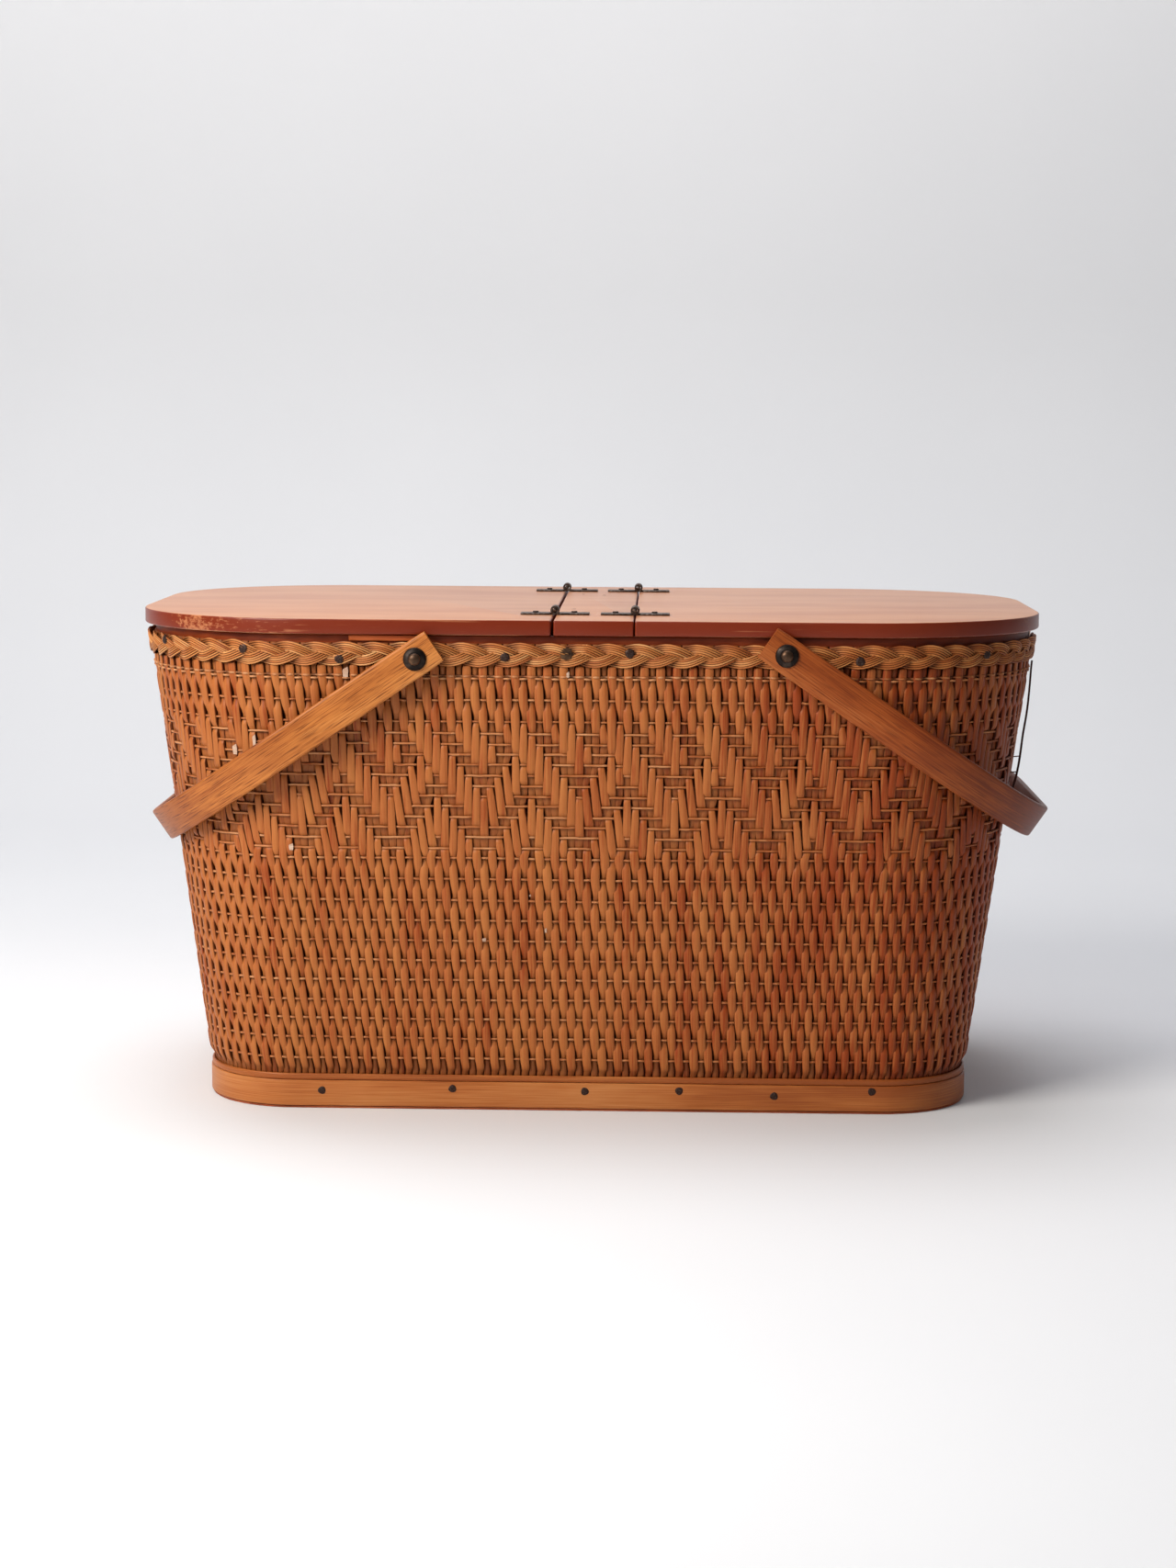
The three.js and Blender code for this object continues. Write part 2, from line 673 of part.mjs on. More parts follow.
// Points evenly spaced round an outline from the front middle, each set in by its own depth
function reliefLoop(outline, depthOf) {
  const points = [];
  for (let column = 0; column < 4 * reliefColumns; column += 1) {
    const way = column / reliefColumns;
    const isBack = way > 1 && way < 3;
    const share = isBack ? 2 - way : way - (way > 1 ? 4 : 0);
    const { position, direction } = frontPlace(outline, share);
    position.addScaledVector(direction, -depthOf(column));
    points.push(isBack ? position.multiply(new THREE.Vector3(1, -1, 1)) : position);
  }
  return points;
}

// Rows of the relief from the foot up. Plain rows swap bumps and hollows from one row to the
// next, and the rows of the zigzag follow its hollows
const isPlainHollow = (column, row) => (column + row) % 2 === 1;
const isZigzagHollow = (column, row) => zigzagHollows[row % zigzagHollows.length].includes(column % 4);
const reliefRows = [
  ...footRowShares.map((share, row) => ({ share, isHollow: (column) => isPlainHollow(column, row) })),
  ...zigzagRowShares.map((share, row) => ({ share, isHollow: (column) => isZigzagHollow(column, row) })),
  ...rimRowShares.map((share, row) => ({ share, isHollow: (column) => isPlainHollow(column, row) })),
];
const reliefRoot = (neckInset + wallThickness) / 2;
const relief = ringThrough([
  reliefLoop(weaveAt(weaveBottom), () => reliefDepth / 2),
  ...reliefRows.map(({ share, isHollow }) => reliefLoop(
    weaveAt(THREE.MathUtils.lerp(weaveBottom, weaveTop, share)),
    (column) => (isHollow(column) ? reliefDepth : 0),
  )),
  reliefLoop(weaveAt(weaveTop), () => reliefDepth / 2),
  reliefLoop(weaveAt(weaveTop), () => reliefRoot),
  reliefLoop(weaveAt(weaveBottom), () => reliefRoot),
]);

// Woven wall: a skirt of bare stakes behind the band, a body that carries the relief, and a
// neck that rises behind the braid
const skirtAt = (height, stand = 0) => ({ ...grown(skirtOutline, stand), height });
const wallBottom = boardFlangeThickness + seatGap;
const neckTop = braidTop - seatGap;
const wallBody = ringGeometry([
  skirtAt(wallBottom),
  skirtAt(weaveBottom),
  weaveAt(weaveBottom, -neckInset),
  weaveAt(neckTop, -neckInset),
  weaveAt(neckTop, -wallThickness),
  weaveAt(weaveBottom + skirtRise, -wallThickness),
  skirtAt(weaveBottom, -skirtThickness),
  skirtAt(wallBottom, -skirtThickness),
]);
addPiece('woven_wall', cut(joined([wallBody, relief]), [...rimCutters, ...baseCutters]), woods.weave);

// Base: the board with a thin flange under the band, the band and the strip above it
const plugStand = -(skirtThickness + seatGap);
const flangeAt = (height) => ({ ...grown(bandOutline, -boardFlangeInset), height });
addPiece('base_board', cut(stackGeometry([
  flangeAt(0),
  flangeAt(boardFlangeThickness),
  skirtAt(boardFlangeThickness, plugStand),
  skirtAt(boardThickness, plugStand),
]), baseCutters), woods.board);

const bandAt = (height, stand = 0) => ({ ...grown(bandOutline, stand), height });
addPiece('base_band', cut(ringGeometry([
  bandAt(bandBottom, -bandEdgeRound),
  bandAt(bandBottom + bandEdgeRound),
  bandAt(bandTop - bandEdgeRound),
  bandAt(bandTop, -bandEdgeRound),
  bandAt(bandTop, -bandThickness),
  bandAt(bandBottom, -bandThickness),
]), baseCutters), woods.band);

const trimBottom = bandTop + restGap;
const trimOuter = seatGap + trimThickness;
addPiece('base_trim', ringGeometry([
  skirtAt(trimBottom, trimOuter - trimHeight / 4),
  skirtAt(trimBottom + trimHeight / 4, trimOuter),
  skirtAt(trimTop - trimHeight / 4, trimOuter),
  skirtAt(trimTop, trimOuter - trimHeight / 4),
  skirtAt(trimTop, seatGap),
  skirtAt(trimBottom, seatGap),
]), woods.band);

export default basket;
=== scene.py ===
"""A woven picnic basket: splint stakes and cords, a plaited rim, a wooden lid and two handles.

Sizes are in millimetres until a mesh is made. X runs along the basket to the right, -Y is
the front and Z is up, with the origin under the middle of the base.
"""
import math

import bpy
import numpy as np
from mathutils import Matrix, Vector


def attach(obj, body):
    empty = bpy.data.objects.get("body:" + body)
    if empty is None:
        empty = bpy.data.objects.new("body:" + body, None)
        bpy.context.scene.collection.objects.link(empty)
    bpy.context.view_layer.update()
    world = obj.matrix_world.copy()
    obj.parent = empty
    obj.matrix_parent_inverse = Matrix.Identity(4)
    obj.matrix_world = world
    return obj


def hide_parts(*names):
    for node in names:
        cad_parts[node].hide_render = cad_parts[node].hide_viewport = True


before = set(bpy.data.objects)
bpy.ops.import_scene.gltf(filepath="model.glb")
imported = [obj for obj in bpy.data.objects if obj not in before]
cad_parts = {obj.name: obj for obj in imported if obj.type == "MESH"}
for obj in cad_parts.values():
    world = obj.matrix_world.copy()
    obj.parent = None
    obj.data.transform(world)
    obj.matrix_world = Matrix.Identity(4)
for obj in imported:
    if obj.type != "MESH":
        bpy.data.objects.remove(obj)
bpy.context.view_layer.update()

MM = 0.001
rng = np.random.default_rng(27)

# Lid
LID_HALF = (254.0, 150.0)
LID_RADIUS = 104.5
SEAM_RADIUS = 1.0
LID_BOTTOM = 266.7
LID_TOP = 275.1
LEFT_SEAM = -18.5
RIGHT_SEAM = 25.7
LEFT_GAP = 1.4
RIGHT_GAP = 0.7

# Wall: half length, half depth and corner radius of the outer face at its foot and its rim
FOOT_HEIGHT = 19.9
RIM_HEIGHT = 249.1
FOOT = np.array([215.4, 124.6, 53.0])
RIM = np.array([249.6, 147.5, 102.0])

# Base band, the strip on it and the board, as stands from the foot of the wall
BAND_STAND = -0.2
BAND_THICKNESS = 2.2
TRIM_INNER = -2.4
TRIM_OUTER = -0.6
BAND_BOTTOM = 1.5
BAND_TOP = 15.9
TRIM_TOP = 19.6

# Braid and hoop
BRAID_BOTTOM = 249.4
BRAID_TOP = 263.0
BRAID_STAND = -0.1
BRAID_FACE = 1.9
HOOP_BOTTOM = 236.4
HOOP_TOP = 266.4
HOOP_INNER = -8.5
HOOP_OUTER = -3.5

# Handles, turned down from level about their rivets
HANDLES = {
    "left_handle": {"side": -1, "pivot": (-91.8, 254.296), "inner": 151.819, "reach": 180.475,
                    "bend": 102.0, "angle": 34.289},
    "right_handle": {"side": 1, "pivot": (107.5, 257.56), "inner": 152.145, "reach": 173.962,
                     "bend": 98.0, "angle": 34.302},
}
HANDLE_WIDTH = 19.5
HANDLE_THICKNESS = 5.0
HANDLE_TAIL = 12.3

# Angle in degrees past which an edge of metal or of a strip shows as sharp, the smallest radius,
# which stands for the axis of a turned shape, and the hair's gap between two pieces
SHARP_EDGE = 50
AXIS = 0.02
HAIR = 0.1


def colour(code):
    """An sRGB hex colour as the linear colour with alpha that a shader takes."""
    parts = [int(code[i:i + 2], 16) / 255 for i in (1, 3, 5)]
    linear = [p / 12.92 if p <= 0.04045 else ((p + 0.055) / 1.055) ** 2.4 for p in parts]
    return (*linear, 1.0)


def feed(tree, node, inputs):
    """Gives a node's inputs a value, the socket that feeds them or the node whose first output
    does."""
    for key, value in inputs.items():
        if isinstance(value, bpy.types.Node):
            value = value.outputs[0]
        if isinstance(value, bpy.types.NodeSocket):
            tree.links.new(value, node.inputs[key])
        else:
            node.inputs[key].default_value = value


def add(tree, kind, inputs=None, ramp=None, **settings):
    """Adds a shader node with its settings, and feeds its inputs."""
    made = tree.nodes.new("ShaderNode" + kind)
    for name, value in settings.items():
        setattr(made, name, value)
    feed(tree, made, inputs or {})
    if ramp:
        stops = made.color_ramp.elements
        while len(stops) < len(ramp):
            stops.new(0.5)
        for stop, (place, code) in zip(stops, ramp):
            stop.position = place
            stop.color = colour(code)
    return made


def shader(name):
    """A new material's node tree and its main shader."""
    material = bpy.data.materials.new(name)
    material.use_nodes = True
    tree = material.node_tree
    return material, tree, tree.nodes["Principled BSDF"]


def varnished_wood(name, ramp, streak, length, blotch, roughness, coat, source="Object",
                   relief=0.05, gap="#380c02", pores=0.0):
    """Wood under varnish. Streaks are streak mm wide and length mm long along X, and blotches of
    colour are blotch mm across. Made pieces bring their own tint and their painted shade, a share by
    which the colour is mixed towards the gap colour where shade falls in gaps and recesses.
    Pores are short dark dashes, a quarter of a streak's length, where a finer noise is high."""
    material, tree, main = shader(name)
    if source == "Object":
        place = add(tree, "TexCoord").outputs["Object"]
        unit = 1000
    else:
        place = add(tree, "Attribute", attribute_name=source).outputs["Vector"]
        unit = 1
    grains = [(length, streak, {"Detail": 5, "Roughness": 0.6, "Distortion": 0.15}),
              (3 * blotch, blotch, {"Detail": 3})]
    if pores:
        grains.append((length / 4, streak / 1.6, {"Detail": 2}))
    noises = []
    for long, wide, settings in grains:
        scale = (unit / long, unit / wide, unit / wide)
        scaled = add(tree, "Mapping", {"Vector": place, "Scale": scale})
        noises.append(add(tree, "TexNoise", {"Vector": scaled, "Scale": 1, **settings}))
    tint = add(tree, "Attribute", attribute_name="tint")
    both = add(tree, "Math", {0: noises[0], 1: noises[1]}, operation="ADD")
    level = add(tree, "MapRange", {"Value": both, "From Min": 0.7, "From Max": 1.3})
    shifted = add(tree, "Math", {0: level, 1: tint.outputs["Fac"]}, operation="ADD", use_clamp=True)
    base = add(tree, "ValToRGB", {"Fac": shifted}, ramp=ramp)
    if pores:
        high = add(tree, "MapRange", {"Value": noises[2], "From Min": 0.52, "From Max": 0.66,
                                      "To Max": pores})
        base = add(tree, "MixRGB", {"Fac": high, "Color1": base, "Color2": colour("#5a2408")})
    # Painted shade: where shade falls in gaps and recesses, the colour is mixed towards the gap colour
    painted_shade = add(tree, "Attribute", attribute_name="painted_shade")
    feed(tree, main, {
        "Base Color": add(tree, "MixRGB", {"Fac": painted_shade.outputs["Fac"], "Color1": base,
                                           "Color2": colour(gap)}),
        "Roughness": add(tree, "MapRange", {"Value": noises[0], "To Min": roughness - 0.08,
                                            "To Max": roughness + 0.08}),
        "Normal": add(tree, "Bump", {"Height": noises[0], "Strength": 0.6,
                                     "Distance": relief * MM}),
        "IOR": 1.5,
        "Specular IOR Level": 0.2,
        "Coat Weight": coat,
        "Coat Roughness": 0.25,
    })
    return material


def dark_metal(name, worn, body, rust, grain, roughness):
    """Blackened or darkened metal whose raised parts are rubbed brighter and whose pits rust."""
    material, tree, main = shader(name)
    place = add(tree, "TexCoord").outputs["Object"]
    noise = add(tree, "TexNoise", {"Vector": place, "Scale": 1000 / grain, "Detail": 4})
    feed(tree, main, {
        "Base Color": add(tree, "ValToRGB", {"Fac": noise},
                          ramp=[(0.3, rust), (0.5, body), (0.75, worn)]),
        "Roughness": add(tree, "MapRange", {"Value": noise, "To Min": roughness + 0.15,
                                            "To Max": roughness - 0.1}),
        "Normal": add(tree, "Bump", {"Height": noise, "Strength": 0.5, "Distance": 0.08 * MM}),
        "Metallic": 0.85,
    })
    return material


# Willow or chestnut splint, planed flat and varnished: satin, with fine lengthwise streaks
splint = varnished_wood(
    "varnished_splint", [(0.0, "#8c390d"), (0.45, "#a65d2b"), (1.0, "#b06b34")],
    1.1, 30, 25, 0.5, 0.04, "grain", relief=0.06)
# Splint where it has broken: bare pale wood that never took varnish
raw_splint = varnished_wood(
    "bare_broken_splint", [(0.05, "#a98066"), (0.5, "#c5a48c"), (0.95, "#d6bda8")],
    0.6, 12, 8, 0.7, 0.0)
# Thin round cane cord, paler than the stakes; the painted shade on its sides leaves its crown the
# palest
cord_wood = varnished_wood(
    "varnished_cord", [(0.0, "#96481a"), (0.5, "#bb7240"), (0.95, "#cf9262")],
    0.5, 14, 30, 0.5, 0.04, "grain", relief=0.04)
# The same cord plaited, more golden, with painted shade in its grooves, mixed towards a darker gap
# colour
plait = varnished_wood(
    "plaited_cord", [(0.05, "#a05424"), (0.5, "#c97d40"), (0.95, "#e6aa6c")],
    0.5, 16, 30, 0.48, 0.05, "grain", relief=0.04, gap="#451302")
# Solid board under a reddish varnish, glossy enough to hold a pale sheen
lid_board = varnished_wood(
    "varnished_lid_board", [(0.0, "#722303"), (0.32, "#ac6a44"), (0.6, "#b3734a"), (0.95, "#bf8258")],
    1.6, 60, 35, 0.4, 0.32)
# Bent strip of pale wood, clear varnish
bent_band = varnished_wood(
    "bentwood_band", [(0.05, "#8e481c"), (0.4, "#a9602b"), (0.95, "#bf7d46")],
    1.0, 50, 45, 0.45, 0.12, "grain")
# Bent hoop, stained red-brown
stained_hoop = varnished_wood(
    "stained_hoop", [(0.05, "#742a0c"), (0.5, "#9c4218"), (0.95, "#b65a28")],
    1.4, 50, 30, 0.5, 0.1, "grain", relief=0.06)
# Steam-bent ash or beech handle: long open pores that hold darker varnish
left_bentwood = varnished_wood(
    "bentwood_handle", [(0.05, "#9a5420"), (0.5, "#ba7032"), (0.95, "#cc8848")],
    0.9, 60, 30, 0.45, 0.08, "grain", relief=0.07, pores=0.8)
# The right handle's copy of the same wood, painted darker as shade at the right end, away from the
# light
shaded_bentwood = varnished_wood(
    "shade_darkened_bentwood_handle", [(0.05, "#74300c"), (0.5, "#984a1a"), (0.95, "#ac622e")],
    0.9, 60, 30, 0.45, 0.08, "grain", relief=0.07, pores=0.7)
# Flat board stained red-brown, hardly varnished
floor_board = varnished_wood(
    "stained_board", [(0.05, "#7a3a1e"), (0.5, "#a04e2b"), (0.95, "#b5663b")],
    1.6, 60, 35, 0.55, 0.1)
# Blackened steel strap, hammered and dull
black_steel = dark_metal("blackened_steel", "#867a70", "#463c37", "#4a3022", 1.5, 0.45)
# Nail steel with a skin of rust
nail_steel = dark_metal("rusted_nail_steel", "#5c4a3f", "#382a26", "#3f1f12", 0.8, 0.5)
# Bronze gone dark, rubbed brighter on its domes
bronze = dark_metal("darkened_bronze", "#8f6e50", "#5c4331", "#3a2a20", 5, 0.36)
# The washers under the domes, gone nearly black
black_bronze = dark_metal("blackened_bronze", "#4a3d35", "#241c18", "#1a1412", 4, 0.42)


def quads(rows, columns, close_rows=False, close_columns=False):
    """Corner numbers of the four-sided faces between neighbouring points of a grid."""
    r = np.arange(rows if close_rows else rows - 1)[:, None]
    c = np.arange(columns if close_columns else columns - 1)[None, :]
    below = (r + 1) % rows * columns
    right = (c + 1) % columns
    corners = [r * columns + c, r * columns + right, below + right, below + c]
    return np.stack(np.broadcast_arrays(*corners), -1).reshape(-1, 4)


def capped(rings):
    """Points and faces of a run of closed rings with a flat face on each end."""
    rows, columns = rings.shape[:2]
    faces = [quads(rows, columns, close_columns=True)]
    faces.append(np.arange(columns)[None, ::-1])
    faces.append(((rows - 1) * columns + np.arange(columns))[None, :])
    return rings.reshape(-1, 3), faces


def copies(points, faces):
    """Many shapes with the same faces: points has one row of points for each shape."""
    count, size = points.shape[:2]
    shifts = (np.arange(count) * size)[:, None, None]
    return points.reshape(-1, 3), [(f[None] + shifts).reshape(-1, f.shape[1]) for f in faces]


def volume(points, faces):
    """Signed volume: a fan of triangles from each face's first corner to the origin."""
    total = 0.0
    for f in faces:
        first = points[f[:, 0]]
        for k in range(1, f.shape[1] - 1):
            total += np.einsum("ij,ij->", first, np.cross(points[f[:, k]], points[f[:, k + 1]]))
    return total


def piece(name, shape, body, material, replaces=(), values=None, crease=None):
    """A finished piece from points in mm and faces, facing outwards. values are kept for each point."""
    points, faces = shape
    if volume(points, faces) < 0:
        faces = [f[:, ::-1] for f in faces]
    mesh = bpy.data.meshes.new(name)
    mesh.vertices.add(len(points))
    mesh.vertices.foreach_set("co", (points * MM).astype(np.float32).ravel())
    corners = np.concatenate([f.ravel() for f in faces])
    sizes = np.concatenate([np.full(len(f), f.shape[1]) for f in faces])
    mesh.loops.add(len(corners))
    mesh.loops.foreach_set("vertex_index", corners.astype(np.int32))
    mesh.polygons.add(len(sizes))
    starts = np.concatenate([[0], np.cumsum(sizes)[:-1]])
    mesh.polygons.foreach_set("loop_start", starts.astype(np.int32))
    mesh.update(calc_edges=True)
    mesh.polygons.foreach_set("use_smooth", np.ones(len(sizes), bool))
    if crease:
        mesh.set_sharp_from_angle(angle=math.radians(crease))
    for key, value in (values or {}).items():
        single = value.size == len(points)
        kind = "FLOAT" if single else "FLOAT_VECTOR"
        field = "value" if single else "vector"
        made = mesh.attributes.new(key, kind, "POINT")
        made.data.foreach_set(field, value.astype(np.float32).ravel())
    mesh.materials.append(material)
    made = bpy.data.objects.new(name, mesh)
    bpy.context.scene.collection.objects.link(made)
    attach(made, body)
    if replaces:
        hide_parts(*replaces)
    return made


def wall_sizes(height, stand=0.0):
    """Half length, half depth and radius of the wall's outer face at a height, grown by a stand."""
    share = (np.asarray(height, float) - FOOT_HEIGHT) / (RIM_HEIGHT - FOOT_HEIGHT)
    return [FOOT[k] + share * (RIM[k] - FOOT[k]) + stand for k in range(3)]


def around(sizes, way, gather=0.0):
    """Points and outward directions on a rounded rectangle. way runs anticlockwise from 0 at the
    front middle to 4 at the same place, a quarter of the outline for each 1. gather in mm draws
    points towards the corners: it adds gather times the sine of a whole turn for each quarter."""
    half_length, half_depth, radius = sizes
    quarter = np.floor(way).astype(int) % 4
    local = way - np.floor(way)
    mirrored = quarter % 2 == 1
    local = np.where(mirrored, 1 - local, local)
    front = half_length - radius
    side = half_depth - radius
    corner = radius * math.pi / 2
    run = (front + corner + side) * local + gather * np.sin(2 * math.pi * local)
    turn = np.clip((run - front) / radius, 0, math.pi / 2)
    x = np.minimum(run, front) + radius * np.sin(turn)
    y = np.minimum(-side - radius * np.cos(turn) + np.maximum(run - front - corner, 0), 0)
    sign_x = np.where((quarter == 2) | (quarter == 3), -1, 1)
    sign_y = np.where((quarter == 1) | (quarter == 2), -1, 1)
    return x * sign_x, y * sign_y, np.sin(turn) * sign_x, -np.cos(turn) * sign_y


def off_wall(place, out, run, z):
    """Points that stand out mm off places on an outline and run mm along it, at heights z."""
    x, y, out_x, out_y = (part[..., None] for part in place)
    return np.stack([x + out_x * out - out_y * run, y + out_y * out + out_x * run, z + 0 * out], -1)


def loop_at(x, y, z):
    """The points of a loop at one height."""
    return np.stack([x, y, np.full(len(x), z)], -1)


def rounded_loop(corners):
    """A closed loop of four arcs, anticlockwise from the one at the right and the top. Each is
    given by its centre, its radius and its steps."""
    rows = []
    for k, (x, y, radius, steps) in enumerate(corners):
        turns = np.linspace(0, math.pi / 2, steps + 1) + k * math.pi / 2
        rows.append(np.stack([x + radius * np.cos(turns), y + radius * np.sin(turns)], -1))
    return np.concatenate(rows)


def rounded_section(width, thickness, radius, steps):
    """Closed section of a strip: a rectangle whose four corners are arcs."""
    x = width / 2 - radius
    y = thickness / 2 - radius
    return rounded_loop([(a, b, radius, steps) for a, b in ((x, y), (-x, y), (-x, -y), (x, -y))])


def smooth(t):
    """Eases from 0 to 1: three t squared less two t cubed."""
    t = np.clip(t, 0, 1)
    return t * t * (3 - 2 * t)


def right_end_shade(x, y):
    """How much darker the front's right end is painted, as painted shade away from the light, given
    as a shift of tint. It grows by the smooth curve from x -40 to 240 mm, and from y 70 forward to -70
    mm."""
    return -0.45 * smooth((x + 40) / 280) * smooth((70 - y) / 140)


# The weave. Stakes are counted from FIRST_STAKE, in mm along the rim from the front middle
STAKES = 324
QUARTER = float(sum([RIM[0] - RIM[2], RIM[1] - RIM[2], RIM[2] * math.pi / 2]))
PITCH = 4 * QUARTER / STAKES
FIRST_STAKE = -73.3
REPEAT = 12
EVEN = set(range(0, REPEAT, 2))
ODD = set(range(1, REPEAT, 2))

# Each cord's height and the stakes that it passes over, as their numbers in a repeat
TWINED = [(244.6, EVEN), (243.1, ODD)]
ZIGZAG = [
    {4, 5, 6, 10, 11, 0}, {5, 6, 7, 11, 0, 1}, {6, 7, 8, 0, 1, 2}, {1, 2, 3, 5, 6, 7, 9},
    {2, 3, 4, 5, 6, 10}, {3, 4, 5, 9, 10, 11}, {4, 8, 9, 10, 11, 0}, {7, 8, 9, 11, 0, 1},
    {0, 1, 2, 6, 7, 8}, {1, 2, 3, 5, 6, 7}, {2, 3, 4, 5, 6, 10}, {3, 4, 5, 9, 10, 11},
]
ZIGZAG_TOP = 212.9
ZIGZAG_FOOT = 149.2
FOOT_ROWS = [143.4, 131.6, 119.6, 108.2, 96.8, 85.6, 74.3, 62.9, 51.9, 40.9, 29.1]
RIM_ROWS = [(231.1, EVEN), (219.4, ODD)]
ROWS = RIM_ROWS + list(zip(np.linspace(ZIGZAG_TOP, ZIGZAG_FOOT, len(ZIGZAG)), ZIGZAG))
ROWS += [(z, EVEN if k % 2 == 0 else ODD) for k, z in enumerate(FOOT_ROWS)]

# For each cord and stake number in a repeat, whether the cord passes over the stake
OVER = np.array([[k in over for k in range(REPEAT)] for _, over in ROWS])

# A stake's depth in mm from the wall's face and its width share where it passes over a cord, and
# where it passes under one in the plain rows and in the zigzag
OVER_DEPTH, OVER_WIDTH = -0.45, 1.2
PLAIN_DEPTH, PLAIN_WIDTH = -2.4, 0.7
ZIGZAG_DEPTH, ZIGZAG_WIDTH = -2.1, 0.98
ZIGZAG_CROWN = 0.5

# A zigzag float's width shares at its top, along it and at its foot, and its slide along the
# wall in mm for each gap between cords, which turns back by a share where the steps go down to
# the right
FLOAT_TOP = 0.8
FLOAT_START = 0.92
FLOAT_SPREAD = 0.26
FLOAT_FOOT = 1.18
FLOAT_SLIDE = 0.7
FLOAT_BACK_SHARE = 0.33
FLOAT_LONGEST = 4

# Where a stake's form is set above its cords and below them: heights, and depths at the stakes
# with an even number and at the others. Cords further apart than LONG_GAP mm have a long gap
STAKE_TOPS = [262.0, 250.6, 248.6, 243.9]
EVEN_TOP_DEPTHS = [-3.0, -2.7, -0.8, -0.6]
ODD_TOP_DEPTHS = [-3.0, -2.7, -2.2, -2.3]
STAKE_FEET = [20.6, 15.0, 2.2]
FOOT_DEPTHS = [-3.0, -3.5, -3.5]
LONG_GAP = 8


def gather_at(height):
    """How far the stakes crowd towards the corners at a height."""
    share = (height - FOOT_HEIGHT) / (RIM_HEIGHT - FOOT_HEIGHT)
    return 5.2 * (1 - np.clip(share, 0, 1))


def stake_way(number):
    """A stake's place on the outline, from 0 at the front middle to 4."""
    return ((FIRST_STAKE + number * PITCH) / QUARTER) % 4


def zigzag_floats(width, shift):
    """Fills in each zigzag float's width share and its shift along the wall in mm, at its cords.
    A float is narrow at its top and wide at its foot, and runs straight on under the cords above
    and below it. Where the steps go down to the left it leans FLOAT_SLIDE mm to the right for
    each gap on its way down, for FLOAT_LONGEST gaps at most, and where they go down to the right
    it leans FLOAT_BACK_SHARE of that to the left."""
    first = len(RIM_ROWS)
    last = first + len(ZIGZAG)
    for stake in range(REPEAT):
        row = first
        while row < last:
            if OVER[row, stake]:
                row += 1
                continue
            end = row
            while end < last and not OVER[end, stake]:
                end += 1
            count = end - row + 1
            from_left = not OVER[row, (stake - 1) % REPEAT]
            from_right = not OVER[row, (stake + 1) % REPEAT]
            slide = 0.0
            if from_right and not from_left:
                slide = FLOAT_SLIDE
            if from_left and not from_right:
                slide = -FLOAT_BACK_SHARE * FLOAT_SLIDE
            way = np.arange(count + 1) / count
            shift[stake, row - 1:end + 1] = slide * (way - 0.5) * min(count, FLOAT_LONGEST)
            width[stake, row:end] = FLOAT_START + FLOAT_SPREAD * way[1:-1]
            if row > first:
                width[stake, row - 1] = FLOAT_TOP
            if end < last:
                width[stake, end] = FLOAT_FOOT
            row = end


def stake_at_cords():
    """Heights at which a stake's form is set, from the top down, and there, for each stake of a
    repeat, its depth, width share, shift along the wall and crown. It is wide and near the face
    where it passes over a cord, and deep where it passes under."""
    plain = np.array([over in (EVEN, ODD) for _, over in ROWS])
    heights = STAKE_TOPS + [height for height, _ in ROWS] + STAKE_FEET
    cords = slice(len(STAKE_TOPS), -len(STAKE_FEET))
    even = np.arange(REPEAT)[:, None] % 2 == 0
    form = np.zeros((4, REPEAT, len(heights)))
    depth, width, shift, crown = form
    depth[:, :cords.start] = np.where(even, EVEN_TOP_DEPTHS, ODD_TOP_DEPTHS)
    depth[:, cords] = np.where(OVER.T, np.where(plain, PLAIN_DEPTH, ZIGZAG_DEPTH), OVER_DEPTH)
    depth[:, cords.stop:] = FOOT_DEPTHS
    width[:] = 0.9
    width[:, 2:4] = np.where(even, 1.14, PLAIN_WIDTH)
    width[:, cords] = np.where(OVER.T, np.where(plain, PLAIN_WIDTH, ZIGZAG_WIDTH), OVER_WIDTH)
    crown[:] = 1.0
    crown[:, cords] = np.where(plain, 1.0, ZIGZAG_CROWN)
    zigzag_floats(width[:, cords], shift[:, cords])
    return heights, form


def stake_profile():
    """Heights of a stake's rings, and for each of a repeat its depth, width share, lean and crown.

    A stake comes up quickly from under the cord above, by the smooth curve of 1.7 times the way in
    a long gap and of 2.6 times in a short one. It goes down late: in a long gap by 0.3 of the way
    and 0.7 of the smooth curve of its last 65 percent, leaning to the right, and in a short one
    by the smooth curve of its last 40 percent. Its width follows its depth in a long gap, and
    changes evenly in a short one."""
    knots, form = stake_at_cords()
    heights = []
    values = []
    for k in range(len(knots) - 1):
        start = form[:, :, k]
        end = form[:, :, k + 1]
        rising = end[0] > start[0] + 1
        falling = end[0] < start[0] - 1
        gap = knots[k] - knots[k + 1]
        is_long = gap > LONG_GAP
        steps = 5 if is_long else 4
        quick = 1.7 if is_long else 2.6
        sway = 0.062 if is_long else 0.02
        for f in np.arange(steps) / steps:
            late = 0.3 * f + 0.7 * smooth((f - 0.35) / 0.65) if is_long else smooth((f - 0.6) / 0.4)
            eased = np.where(rising, smooth(quick * f), np.where(falling, late, smooth(f)))
            way = np.full((4, REPEAT), f)
            way[0] = eased
            if is_long:
                way[1] = eased
            ring = start + (end - start) * way
            ring[2] += np.where(falling, sway * gap * math.sin(math.pi * f ** 1.5),
                                np.where(rising, -0.02 * gap * math.sin(math.pi * f), 0.0))
            heights.append(knots[k] - gap * f)
            values.append(ring)
    heights.append(knots[-1])
    values.append(form[:, :, -1])
    return np.array(heights), np.array(values)
